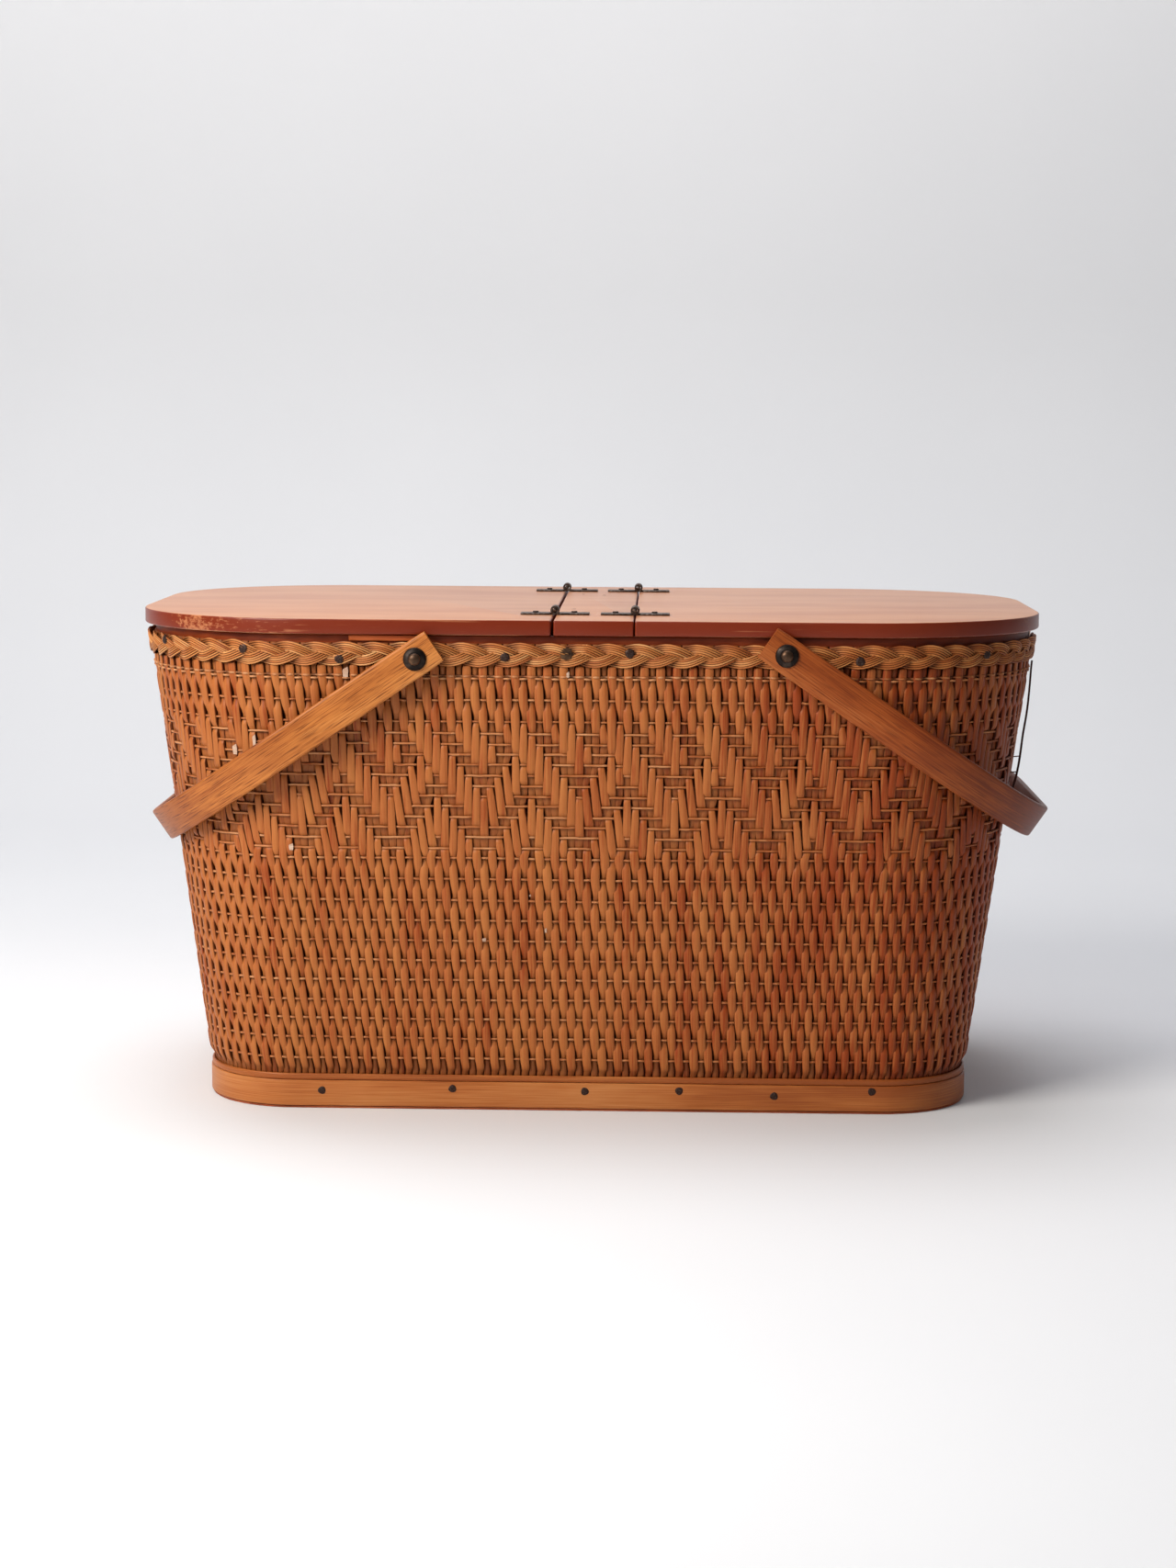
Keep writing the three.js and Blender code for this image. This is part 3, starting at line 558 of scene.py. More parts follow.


# A stake's section: across in shares of its width, and height above its depth in mm. The first
# point and the last two are its back, which stays at one depth and meets those of its neighbours.
# The last of the lists below is the painted shade that each point carries, for the shade in the gaps
# between stakes, whatever the stake's depth
STAKE_SECTION = np.array([[-0.53, 0.0], [-0.5, -0.3], [-0.42, 0.24], [0.0, 0.42], [0.42, 0.24],
                          [0.5, -0.3], [0.53, 0.0], [0.0, 0.0]])
STAKE_BACK = np.array([1, 0, 0, 0, 0, 0, 1, 1], bool)
STAKE_GAP_SHADE = np.array([1.0, 0.8, 0, 0, 0, 0.8, 1.0, 0.1])
BACK_DEPTH = -3.15


def make_stakes():
    """Flat stakes carried down the wall: rings of STAKE_SECTION at the heights of stake_profile,
    set in by its depth and shifted along the wall by its lean and by a slow random wander."""
    heights, profile = stake_profile()
    rows = len(heights)
    numbers = np.arange(STAKES)
    depth, width, lean, crown = (profile[:, k, :][:, numbers % REPEAT].T[:, :, None] for k in range(4))
    wander = np.cumsum(rng.normal(0, 1, (STAKES, rows)), 1)
    wander -= np.linspace(0, 1, rows) * wander[:, -1:]
    fat = 1 + 0.02 * rng.normal(0, 1, (STAKES, 1, 1))
    z = heights[None, :]
    sizes = wall_sizes(np.maximum(z, FOOT_HEIGHT))
    way = stake_way(numbers)[:, None] + 0 * z
    step = 0.5
    wall = around(sizes, way, gather_at(z))
    ahead = around(sizes, way + step / QUARTER, gather_at(z))
    pitch = np.hypot(ahead[0] - wall[0], ahead[1] - wall[1])[:, :, None] / step * PITCH
    run = STAKE_SECTION[:, 0] * np.where(STAKE_BACK, 1, width * fat) * pitch
    run = run + np.where(STAKE_BACK, 0, lean + 0.018 * wander[:, :, None])
    face = depth + STAKE_SECTION[:, 1] * crown + 0.1 * rng.normal(0, 1, (STAKES, 1, 1))
    stand = np.where(STAKE_BACK, np.minimum(BACK_DEPTH, depth - 0.6), face)
    points = off_wall(wall, stand, run, z[:, :, None])
    # Painted shade: stronger the deeper a stake lies under the cords, and in the gaps at its edges and
    # back
    deep = 0.4 * smooth((-1.4 - depth) / 1.2)
    painted_shade = np.clip(np.where(STAKE_BACK, 0, deep) + STAKE_GAP_SHADE, 0, 1)
    tint = 0.025 * rng.normal(0, 1, (STAKES, 1, 1)) + right_end_shade(points[..., 0], points[..., 1])
    number = numbers[:, None, None]
    grain = np.stack([points[..., 2] + 9.0 * number, run + 9.7 * number, 0 * run], -1)
    faces = capped(points[0])[1]
    for k, part in enumerate(["front", "right", "back", "left"]):
        chosen = slice(k * STAKES // 4, (k + 1) * STAKES // 4)
        shape = copies(points[chosen].reshape(STAKES // 4, -1, 3), faces)
        values = {"painted_shade": painted_shade[chosen], "tint": tint[chosen], "grain": grain[chosen]}
        piece(f"{part}_stakes", shape, "basket", splint,
              ["woven_wall"] if k == 0 else [], values)


# Wall cords: turns of a section's points, rings for each stake, and how far a plain and a twined
# cord stand out where they pass under a stake and how much further where they pass over one
CORD_SIDES = np.linspace(0, 2 * math.pi, 6, endpoint=False)
CORD_RADIUS = 0.7
CORD_STEPS = 4
CORD_UNDER = -1.95
CORD_RISE = 0.98
TWINED_UNDER = -2.2
TWINED_RISE = 2.1


def cords_piece(name, material, cords, replaces=()):
    """Many closed cords as one piece. Each is given as its rings of points, the painted shade that
    darkens each point in the gaps, its way along and round itself in mm, and its tint."""
    rings, painted_shade, along, girth, tint = (np.array(part) for part in zip(*cords))
    grain = np.zeros(rings.shape)
    grain[..., 0] = along[:, :, None]
    grain[..., 1] = girth[:, None, :]
    steps, sides = rings.shape[1:3]
    values = {"painted_shade": painted_shade, "tint": np.repeat(tint, sides), "grain": grain}
    shape = copies(rings.reshape(len(rings), -1, 3), [quads(steps, sides, True, True)])
    piece(name, shape, "basket", material, replaces, values)


def make_cords():
    """Round cords carried round the wall, CORD_STEPS rings for each stake. A cord stands out where
    it passes over a stake, is set in where it passes under, and eases between by the smooth curve.
    Seven random waves round the wall lift it a little."""
    number = np.arange(STAKES * CORD_STEPS) / CORD_STEPS
    near = np.floor(number).astype(int)
    groups = {"rim_cords": TWINED + ROWS[:8], "zigzag_cords": ROWS[8:16], "foot_cords": ROWS[16:]}
    for name, rows in groups.items():
        cords = []
        for k, (height, over) in enumerate(rows):
            twined = name == "rim_cords" and k < len(TWINED)
            state = np.array([j in over for j in range(REPEAT)], float)
            here = state[near % REPEAT]
            share = here + (state[(near + 1) % REPEAT] - here) * smooth(number - near)
            stand = CORD_UNDER + CORD_RISE * share
            if twined:
                stand = TWINED_UNDER + TWINED_RISE * share
            lift = np.zeros(len(number))
            for wave in range(2, 9):
                turn = rng.uniform(0, 2 * math.pi)
                lift += rng.normal(0, 0.09) * np.sin(wave * 2 * math.pi * number / STAKES + turn)
            lift += 0.07 * np.repeat(rng.normal(0, 1, STAKES), CORD_STEPS)
            z = height + lift + (0.0 if twined else 0.12 * (share - 0.5))
            wall = around(wall_sizes(z), stake_way(number), gather_at(z))
            radius = CORD_RADIUS + 0.03 * rng.normal()
            rings = off_wall(wall, stand[:, None] + radius * np.cos(CORD_SIDES), 0.0,
                             z[:, None] + radius * np.sin(CORD_SIDES))
            # Painted shade: darker where the cord passes under a stake, and on its sides away from its
            # crown
            painted_shade = 0.6 * (1 - share)[:, None] + 0.7 * (1 - np.cos(CORD_SIDES))
            tint = 0.1 * np.repeat(rng.normal(0, 1, STAKES), CORD_STEPS) + 0.3 * twined
            cords.append((rings, np.clip(painted_shade, 0, 1), number * PITCH + 210 * k,
                          CORD_SIDES * radius + 11.3 * k, tint + right_end_shade(*wall[:2])))
        cords_piece(name, cord_wood, cords)


# The plait: waves of a strand round the rim, rings in each, cords in a strand, and sizes in mm
BRAID_WAVES = 30
WAVE_RINGS = 20
STRAND_CORDS = 5
BRAID_SPACING = 1.18
BRAID_RADIUS = 0.64
BRAID_SWING = 3.75
BRAID_DIP = 1.15
BRAID_LENGTH = 1420.0
PATCH_RINGS = 12


def make_braid():
    """Flat plait of three strands of cords that lie side by side, square to the strand's way. A
    strand's height is BRAID_SWING times the sine of its phase and it stands out by minus
    BRAID_DIP times the sine of twice the phase, a third of a turn behind the next strand."""
    count = BRAID_WAVES * WAVE_RINGS
    ring = np.arange(count)
    way = ring / count * 4
    middle = (BRAID_BOTTOM + BRAID_TOP) / 2
    crests = np.arange(0, count + 2 * WAVE_RINGS, WAVE_RINGS)
    patches = np.arange(0, count + 2 * PATCH_RINGS, PATCH_RINGS)
    cords = []
    for strand in range(3):
        phase = 2 * math.pi * (ring / WAVE_RINGS + strand / 3)
        swing = 1 + 0.04 * np.interp(ring, crests, rng.normal(0, 1, len(crests)))
        up = BRAID_SWING * np.sin(phase) * swing
        out = -BRAID_DIP * np.sin(2 * phase)
        slope = BRAID_SWING * np.cos(phase) * 2 * math.pi * BRAID_WAVES / BRAID_LENGTH
        size = np.hypot(1, slope)
        # Painted shade where a strand goes behind the others
        deep = np.clip((-0.2 - out) / 1.6, 0, 0.8)
        for cord in range(STRAND_CORDS):
            from_middle = cord - (STRAND_CORDS - 1) / 2
            offset = from_middle * BRAID_SPACING
            run = -offset * slope / size
            z = middle + up + offset / size
            wall = around(wall_sizes(z), way + run / (BRAID_LENGTH / 4))
            stand = BRAID_STAND + out + 0.2 * (1 - abs(from_middle) / 2)
            rings = off_wall(wall, stand[:, None] + BRAID_RADIUS * np.cos(CORD_SIDES), 0.0,
                             z[:, None] + BRAID_RADIUS * np.sin(CORD_SIDES) / size[:, None])
            # Painted shade, also on each cord's sides between neighbouring cords
            painted_shade = deep[:, None] + 1.25 * (1 - np.cos(CORD_SIDES))
            patch = np.interp(ring, patches, rng.normal(0, 1, len(patches)))
            cords.append((rings, np.clip(painted_shade, 0, 0.9), ring * BRAID_LENGTH / count + 97 * cord,
                          CORD_SIDES * BRAID_RADIUS + 7.9 * (STRAND_CORDS * strand + cord),
                          0.12 * patch + 0.5 * right_end_shade(*wall[:2])))
    cords_piece("plaited_rim", plait, cords, ["rim_braid"])


RING_STEPS = 400


def bent_strip(name, section, material, replaces, tint=0.0):
    """A strip bent into a ring. Each point of its section, given as its sizes and its height, is
    carried round its own rounded rectangle from the back middle, where the real strips are
    joined. Its grain runs along its way round in mm, and its two faces have their own."""
    way = np.arange(RING_STEPS) / RING_STEPS * 4
    points = [loop_at(*around(sizes, way + 2)[:2], z) for sizes, z in section]
    grain = [np.stack([way * 350, np.full(RING_STEPS, z + 40 * (k > len(section) / 2)), 0 * way], -1)
             for k, (_, z) in enumerate(section)]
    points = np.concatenate(points)
    values = {"grain": np.concatenate(grain), "tint": tint + right_end_shade(points[:, 0], points[:, 1])}
    shape = (points, [quads(len(section), RING_STEPS, True, True)])
    piece(name, shape, "basket", material, replaces, values)


def strip_section(inner, outer, bottom, top, radius, sizes_at):
    """Section of a bent strip between two stands and two heights, with its corners rounded."""
    flat = rounded_section(outer - inner, top - bottom, radius, 3)
    flat = flat + [(inner + outer) / 2, (bottom + top) / 2]
    return [(sizes_at(z, stand), z) for stand, z in flat]


def foot_sizes(_, stand):
    """Sizes at the foot of the wall, which stay the same at any height."""
    return [FOOT[k] + stand for k in range(3)]


# The board from its underside up: stands from the foot of the wall, and heights
BOARD_EDGE = [(-1.4, 0), (-1.1, 0.3), (-1.1, 0.9), (-1.4, 1.2), (-5.0, 1.2), (-5.0, 15.6),
              (-5.4, 16)]


def make_base():
    """Base band, the thin strip lying on it, and the board whose edge shows under the band."""
    band = strip_section(BAND_STAND - BAND_THICKNESS, BAND_STAND, BAND_BOTTOM, BAND_TOP, 0.5,
                         foot_sizes)
    bent_strip("bent_base_band", band, bent_band, ["base_band"])
    trim = strip_section(TRIM_INNER, TRIM_OUTER, BAND_TOP + HAIR, TRIM_TOP, 0.8, foot_sizes)
    bent_strip("strip_on_band", trim, bent_band, ["base_trim"], -0.35)
    way = np.arange(RING_STEPS) / RING_STEPS * 4
    loops = [loop_at(*around(foot_sizes(z, stand), way)[:2], z) for stand, z in BOARD_EDGE]
    piece("stained_base_board", capped(np.array(loops)), "basket", floor_board,
          ["base_board"], crease=35)


def make_hoop():
    """Wooden hoop inside the rim, which leans out with the wall, and its lapped end in front. The
    hoop's tint is shifted darker as painted shade where it is set back under the lid, and the lapped
    end's lighter as a painted highlight on its face that stands out.
    """
    hoop = strip_section(HOOP_INNER, HOOP_OUTER, HOOP_BOTTOM, HOOP_TOP, 0.8, wall_sizes)
    # Painted shade: the hoop's tint is shifted darker
    bent_strip("bent_rim_hoop", hoop, stained_hoop, ["rim_hoop"], -0.3)
    low = BRAID_TOP + HAIR
    high = HOOP_TOP - HAIR
    flat = rounded_section(1.6, high - low, 0.4, 2) + [-2.55, (low + high) / 2]
    way = np.linspace(-0.363, -0.25, 30)
    rings = [loop_at(*around(wall_sizes(z, stand), way % 4)[:2], z) for stand, z in flat]
    grain = np.stack([np.repeat(way * 353, len(flat)), np.tile(flat[:, 1], len(way)),
                      np.zeros(len(way) * len(flat))], -1)
    # Painted highlight: the lapped end's tint is shifted lighter
    piece("lapped_end_of_hoop", capped(np.stack(rings, 1)), "basket", stained_hoop, [],
          {"grain": grain, "tint": np.full(len(grain), 0.35)})


def lid_outline(x_low, x_high, inset):
    """Outline of a stretch of the lid. Its corners are those of the lid at the ends, and nearly
    square at the seams."""
    corners = []
    for x, side, end in ((x_high, 1, 1), (x_low, -1, 1), (x_low, -1, -1), (x_high, 1, -1)):
        at_end = abs(x) > LID_HALF[0] - 1
        radius = LID_RADIUS if at_end else SEAM_RADIUS
        corners.append((x - side * radius, end * (LID_HALF[1] - radius), radius - inset,
                        40 if at_end else 4))
    return rounded_loop(corners)


# Shifts of tint on a lid board: painted shade on its under edge and its side, a painted sheen on its
# top, and more painted shade towards its right end
UNDER_SHADE = -0.25
SIDE_SHADE = -0.66
TOP_SHEEN = 0.28
RIGHT_END_SHADE = -0.25
BOARD_SOFT = 0.9


def make_lid():
    """Three boards of one plate. Their edges are rounded by a quarter circle of BOARD_SOFT mm. Their
    under edges and sides carry painted shade, which grows darker towards the right, and their tops a
    painted sheen."""
    turns = np.linspace(0, math.pi / 2, 5)
    profile = [(BOARD_SOFT * (1 - math.sin(t)), LID_BOTTOM + BOARD_SOFT * (1 - math.cos(t)))
               for t in turns]
    profile += [(BOARD_SOFT * (1 - math.cos(t)), LID_TOP - BOARD_SOFT * (1 - math.sin(t)))
                for t in turns]
    rows = np.arange(len(profile))
    side = np.where(rows < 3, UNDER_SHADE, SIDE_SHADE)
    tint = np.where(rows < len(profile) - 2, side, TOP_SHEEN)[:, None]
    boards = {
        "left_lid": (-LID_HALF[0], LEFT_SEAM - LEFT_GAP / 2, "left_flap"),
        "lid_bridge": (LEFT_SEAM + LEFT_GAP / 2, RIGHT_SEAM - RIGHT_GAP / 2, "basket"),
        "right_lid": (RIGHT_SEAM + RIGHT_GAP / 2, LID_HALF[0], "right_flap"),
    }
    for name, (low, high, body) in boards.items():
        loops = [loop_at(*lid_outline(low, high, inset).T, z) for inset, z in profile]
        # Painted shade that grows towards the right end, on the under edges and sides only
        shade = RIGHT_END_SHADE * smooth(loops[-1][:, 0] / 250) * (tint < 0)
        piece(f"{name}_board", capped(np.array(loops)), body, lid_board, [name],
              {"tint": tint + shade}, crease=40)


def handle_path(handle):
    """Middle line of a handle in its own plane: along one leg, round a quarter circle, across,
    round another and back. Returns the line, its sideways direction and its length so far."""
    bend = handle["bend"] + HANDLE_THICKNESS / 2
    leg = handle["inner"] + HANDLE_THICKNESS / 2
    x0 = handle["reach"] + HANDLE_THICKNESS / 2 - bend
    y0 = leg - bend
    turns = np.linspace(0, math.pi / 2, 28)
    straight = np.linspace(-HANDLE_TAIL, x0, 14)[:-1]
    half_x = np.concatenate([straight, x0 + bend * np.sin(turns)])
    half_y = np.concatenate([np.full(len(straight), -leg), -y0 - bend * np.cos(turns)])
    out_x = np.concatenate([np.zeros(len(straight)), np.sin(turns)])
    out_y = np.concatenate([np.full(len(straight), -1.0), -np.cos(turns)])
    x = np.concatenate([half_x, half_x[::-1]])
    y = np.concatenate([half_y, -half_y[::-1]])
    out = np.stack([np.concatenate([out_x, out_x[::-1]]), np.concatenate([out_y, -out_y[::-1]])])
    length = np.concatenate([[0], np.cumsum(np.hypot(np.diff(x), np.diff(y)))])
    return x, y, out, length


def make_handle(name, handle, material):
    """A strip of rounded section carried along handle_path, then turned about its rivets. It
    grows darker from 40 to 130 mm off the rivets, and its inner face has its own grain."""
    x, y, out, length = handle_path(handle)
    section = rounded_section(HANDLE_WIDTH, HANDLE_THICKNESS, 1.3, 3)
    shrink = np.ones(len(x))
    shrink[[0, -1]] = 0.965
    across = section[:, 1] * shrink[:, None]
    up = section[:, 0] * shrink[:, None]
    flat_x = x[:, None] + out[0][:, None] * across
    flat_y = y[:, None] + out[1][:, None] * across
    angle = math.radians(handle["angle"])
    turned_x = flat_x * math.cos(angle) + up * math.sin(angle)
    turned_z = -flat_x * math.sin(angle) + up * math.cos(angle)
    points = np.stack([handle["pivot"][0] + handle["side"] * turned_x, flat_y,
                       handle["pivot"][1] + turned_z], -1)
    face = np.where(section[:, 1] > 0, 0, 60)
    grain = np.stack([length[:, None] + 0 * across, up + face, 0 * across], -1)
    darker = np.repeat(-0.45 * smooth((x - 40) / 90), len(section))
    values = {"grain": grain, "tint": darker}
    piece(f"bent_{name}", capped(points), name, material, [name], values,
          crease=SHARP_EDGE)


def turned_shape(profile, place, direction, sides=28):
    """A turned solid: (radius, height) points carried round an axis through a place."""
    axis = np.array(direction, float)
    axis /= np.linalg.norm(axis)
    side = np.cross(axis, [0, 0, 1.0] if abs(axis[2]) < 0.9 else [1.0, 0, 0])
    side /= np.linalg.norm(side)
    third = np.cross(axis, side)
    turns = np.linspace(0, 2 * math.pi, sides, endpoint=False)
    rows = []
    for radius, height in profile:
        rows.append(np.array(place, float) + height * axis
                    + radius * (np.cos(turns)[:, None] * side + np.sin(turns)[:, None] * third))
    return np.array(rows)


def ring_solid(profile, place, direction, sides=28):
    """A turned ring with a hole: its profile is a closed loop."""
    rows = turned_shape(profile, place, direction, sides)
    return rows.reshape(-1, 3), [quads(len(profile), sides, True, True)]


# Rivets and their washers and burrs, measured outwards from a handle's outer face
HOLE_RADIUS = 2.4
SHANK_RADIUS = 2.1
DOME_RADIUS = 3.3
DOME_HEIGHT = 2.0
WASHER_FOOT = 0.3
WASHER_TOP = 2.2
BURR_GAP = 0.3
BURR_THICKNESS = 1.2


def make_rivets():
    """Domed rivets over coned washers, with a burr inside the hoop."""
    washer = [(HOLE_RADIUS, WASHER_FOOT), (6.1, WASHER_FOOT), (6.3, 0.5), (6.25, 0.8), (5.4, 1.35),
              (4.3, 1.95), (3.8, 2.15), (3.3, WASHER_TOP), (HOLE_RADIUS, WASHER_TOP)]
    head = WASHER_TOP + HAIR
    dome = [(DOME_RADIUS * math.cos(t), head + DOME_HEIGHT * math.sin(t))
            for t in np.linspace(0, math.pi / 2, 7)[:-1]]
    for name, handle in HANDLES.items():
        x, z = handle["pivot"]
        outer = handle["inner"] + HANDLE_THICKNESS
        grip = outer - wall_sizes(z - 5.5, HOOP_INNER)[1]
        low = -grip - BURR_GAP - BURR_THICKNESS
        top = low + BURR_THICKNESS
        tail = low - HAIR
        rivet = [(AXIS, tail - 1.3), (2.3, tail - 1.2), (3.0, tail - 0.6), (3.1, tail),
                 (SHANK_RADIUS, tail), (SHANK_RADIUS, head), *dome, (AXIS, head + DOME_HEIGHT)]
        burr = [(HOLE_RADIUS, low), (5.2, low), (5.5, low + 0.3), (5.5, top - 0.3), (5.2, top),
                (HOLE_RADIUS, top)]
        for end, across in (("front", -1), ("back", 1)):
            place = (x, across * outer, z)
            facing = (0, across, 0)
            for word, part, shape, metal in (
                ("domed", "rivet", capped(turned_shape(rivet, place, facing)), bronze),
                ("coned", "washer", ring_solid(washer, place, facing), black_bronze),
                ("round", "burr", ring_solid(burr, place, facing), nail_steel),
            ):
                piece(f"{name}_{end}_{word}_{part}", shape, "basket", metal,
                      [f"{name}_{end}_{part}"], crease=SHARP_EDGE)


def front_place(sizes, share):
    """Place and direction on the front half of an outline, by its share of the way to an end."""
    way = abs(share) % 4
    x, y, out_x, out_y = around(sizes, np.array([way]))
    sign = 1 if share >= 0 else -1
    return (sign * x[0], y[0]), (sign * out_x[0], out_y[0])


def nail_shape(radius, height, shank, length, place, direction, sides=16):
    """A nail: a flat head with a worn edge over a round shank, knocked a little out of round."""
    profile = [(AXIS, -length), (shank * 0.6, -length + shank), (shank, -length + 2 * shank),
               (shank, -height), (radius * 0.94, -height), (radius, -height * 0.8),
               (radius, -height * 0.4), (radius * 0.9, -height * 0.1), (radius * 0.6, -0.02),
               (AXIS, 0)]
    rows = turned_shape(profile, place, direction, sides)
    middle = rows.mean(1, keepdims=True)
    turns = np.linspace(0, 2 * math.pi, sides, endpoint=False)
    bumps = 1 - 0.13 * np.abs(np.sin(turns * 1.5 + rng.uniform(0, 6)))[None, :, None]
    return capped(middle + (rows - middle) * bumps)


# Nails of the rim, the base and the hinges: radius and height of the head, radius of the shank
# and length. Their places are shares of the way to an end, and of the height of braid or band
RIM_NAIL = (2.8, 1.0, 0.9, 12)
BASE_NAIL = (2.4, 0.8, 0.8, 12)
HINGE_NAIL = (1.8, 0.8, 0.75, 7)
RIM_NAILS = [(-0.703, 0.74), (-0.5235, 0.65), (-0.3727, 0.3), (-0.1227, 0.43), (0.0654, 0.6),
             (0.412, 0.36), (0.629, 0.52)]
BASE_NAILS = [(-0.902, 0.61), (-0.4536, 0.73), (0.0, 0.68), (0.3224, 0.74), (0.6466, 0.58),
              (0.98, 0.8)]


def make_nails():
    """Nails of the braid and the band, with the same number again on the hidden back."""
    nails = []
    for k, (share, up) in enumerate(RIM_NAILS):
        z = BRAID_BOTTOM + up * (BRAID_TOP - BRAID_BOTTOM)
        (x, y), facing = front_place(wall_sizes(z, BRAID_FACE), share)
        nails.append((f"rim_nail_{k + 1}", RIM_NAIL, (x, y, z), facing))
    for k, (share, up) in enumerate(BASE_NAILS):
        place = (share * (FOOT[0] - FOOT[2]), -FOOT[1] - BAND_STAND - 0.35,
                 BAND_BOTTOM + up * (BAND_TOP - BAND_BOTTOM))
        nails.append((f"base_nail_{k + 1}", BASE_NAIL, place, (0, -1)))
    for name, sizes, (x, y, z), (dx, dy) in nails:
        for prefix, sign, replaces in (("", 1, [name]), ("back_", -1, [])):
            shape = nail_shape(*sizes, (sign * x, sign * y, z), (sign * dx, sign * dy, 0))
            piece(f"{prefix}{name}_head", shape, "basket", nail_steel, replaces,
                  crease=SHARP_EDGE)


def box_shape(low, high, soft=0.25):
    """A box with small flats along its edges, as rings of a rounded rectangle from the floor up."""
    middle = [(low[k] + high[k]) / 2 for k in range(3)]
    size = [high[k] - low[k] for k in range(3)]
    loops = []
    for inset, z in [(soft, low[2]), (0, low[2] + soft), (0, high[2] - soft), (soft, high[2])]:
        flat = rounded_section(size[0] - 2 * inset, size[1] - 2 * inset, 2 * soft, 2)
        loops.append(loop_at(*(flat + middle[:2]).T, z))
    return capped(np.array(loops))


def merged(shapes):
    """Several shapes as one."""
    points = []
    faces = []
    start = 0
    for shape_points, shape_faces in shapes:
        if volume(shape_points, shape_faces) < 0:
            shape_faces = [f[:, ::-1] for f in shape_faces]
        points.append(shape_points)
        faces += [f + start for f in shape_faces]
        start += len(shape_points)
    return np.concatenate(points), faces


# Hinges: their places in front and behind, a leaf from its near to its far end from the seam, the
# strap wrapped round the pin, and the knuckles
HINGE_Y = 103.0
LEAF_NEAR = 2.8
LEAF_FAR = 19.0
LEAF_HALF = 5.0
LEAF_THICKNESS = 1.0
LEAF_FLOOR = LID_TOP + HAIR
WRAP_NEAR = 1.2
WRAP_FAR = 9.0
WRAP_THICKNESS = 0.98
KNUCKLE_RADIUS = 2.5
KNUCKLE_HOLE = 1.4
KNUCKLE_SOFT = 0.25
KNUCKLE_GAP = 0.3
PIN = [(AXIS, -5.4), (0.8, -5.4), (1.1, -5.1), (1.1, 5.1), (0.8, 5.4), (AXIS, 5.4)]


def strap_box(x_ends, y_ends, thickness):
    """A flat of a strap, lying on the lid."""
    return box_shape((min(x_ends), y_ends[0], LEAF_FLOOR),
                     (max(x_ends), y_ends[1], LEAF_FLOOR + thickness))


def make_hinges():
    """Strap hinges: a leaf with its rolled knuckles on each side of a seam, a pin and two nails."""
    axis_z = LEAF_FLOOR + KNUCKLE_RADIUS
    half = (LEAF_HALF - KNUCKLE_GAP) / 3
    rolled = KNUCKLE_RADIUS - KNUCKLE_SOFT
    middle = [(-half, half)]
    outer = [(-LEAF_HALF, -half - KNUCKLE_GAP), (half + KNUCKLE_GAP, LEAF_HALF)]
    for seam_name, seam, lid_side in (("left", LEFT_SEAM, -1), ("right", RIGHT_SEAM, 1)):
        for end, y in (("front", -HINGE_Y), ("back", HINGE_Y)):
            name = f"{seam_name}_{end}_hinge"
            for part, side, body, spans in (("lid", lid_side, f"{seam_name}_flap", middle),
                                            ("bridge", -lid_side, "basket", outer)):
                leaf = (seam + side * LEAF_NEAR, seam + side * LEAF_FAR)
                wrap = (seam + side * WRAP_NEAR, seam + side * WRAP_FAR)
                shapes = [strap_box(leaf, (y - LEAF_HALF, y + LEAF_HALF), LEAF_THICKNESS)]
                for near, far in spans:
                    shapes.append(strap_box(wrap, (y + near, y + far), WRAP_THICKNESS))
                    loop = [(KNUCKLE_HOLE, near), (rolled, near),
                            (KNUCKLE_RADIUS, near + KNUCKLE_SOFT),
                            (KNUCKLE_RADIUS, far - KNUCKLE_SOFT),
                            (rolled, far), (KNUCKLE_HOLE, far)]
                    shapes.append(ring_solid(loop, (seam, y, axis_z), (0, 1, 0), 22))
                piece(f"{name}_{part}_strap", merged(shapes), body, black_steel,
                      [f"{name}_{part}_leaf"], crease=40)
                place = (seam + side * (LEAF_FAR + KNUCKLE_RADIUS) / 2, y,
                         LEAF_FLOOR + LEAF_THICKNESS + HAIR + HINGE_NAIL[1])
                piece(f"{name}_{part}_nail_head", nail_shape(*HINGE_NAIL, place, (0, 0, 1)),
                      body, nail_steel, [f"{name}_{part}_nail"], crease=SHARP_EDGE)
            piece(f"{name}_round_pin", capped(turned_shape(PIN, (seam, y, axis_z), (0, 1, 0), 18)),
                  "basket", black_steel, [f"{name}_pin"], crease=SHARP_EDGE)


# The stake sprung loose at the right end: its place on the outline, and from its top down the
# heights and how far it stands off. Two cord ends hold it
SPRUNG_WAY = 0.836
SPRUNG = np.array([[248, 1.6], [238, 2.9], [227, 4.2], [216, 4.9], [206, 4.4], [196, 5.2],
                   [186, 5.4], [178, 4.6], [171, 2.6], [165, 0.2]])
CORD_ENDS = (193.0, 184.0)

# Broken ends of stakes on the front: x, height, and how wide and high the bare wood shows
CHIPS = [(-130.0, 246.0, 3.2, 5.0), (-192.1, 201.9, 3.0, 5.2), (-180.8, 207.6, 2.0, 5.6),
         (-161.2, 149.0, 2.6, 3.4), (-55.7, 97.7, 2.2, 2.0), (-9.9, 245.6, 1.6, 3.0),
         (-30.4, 123.0, 1.0, 1.2), (-21.8, 103.3, 1.2, 2.6)]

# Dark marks on the bridge: x, y and radius
MARKS = [(-9.3, -58.1, 1.4), (-7.7, 73.9, 1.0), (5.3, 66.7, 1.2)]


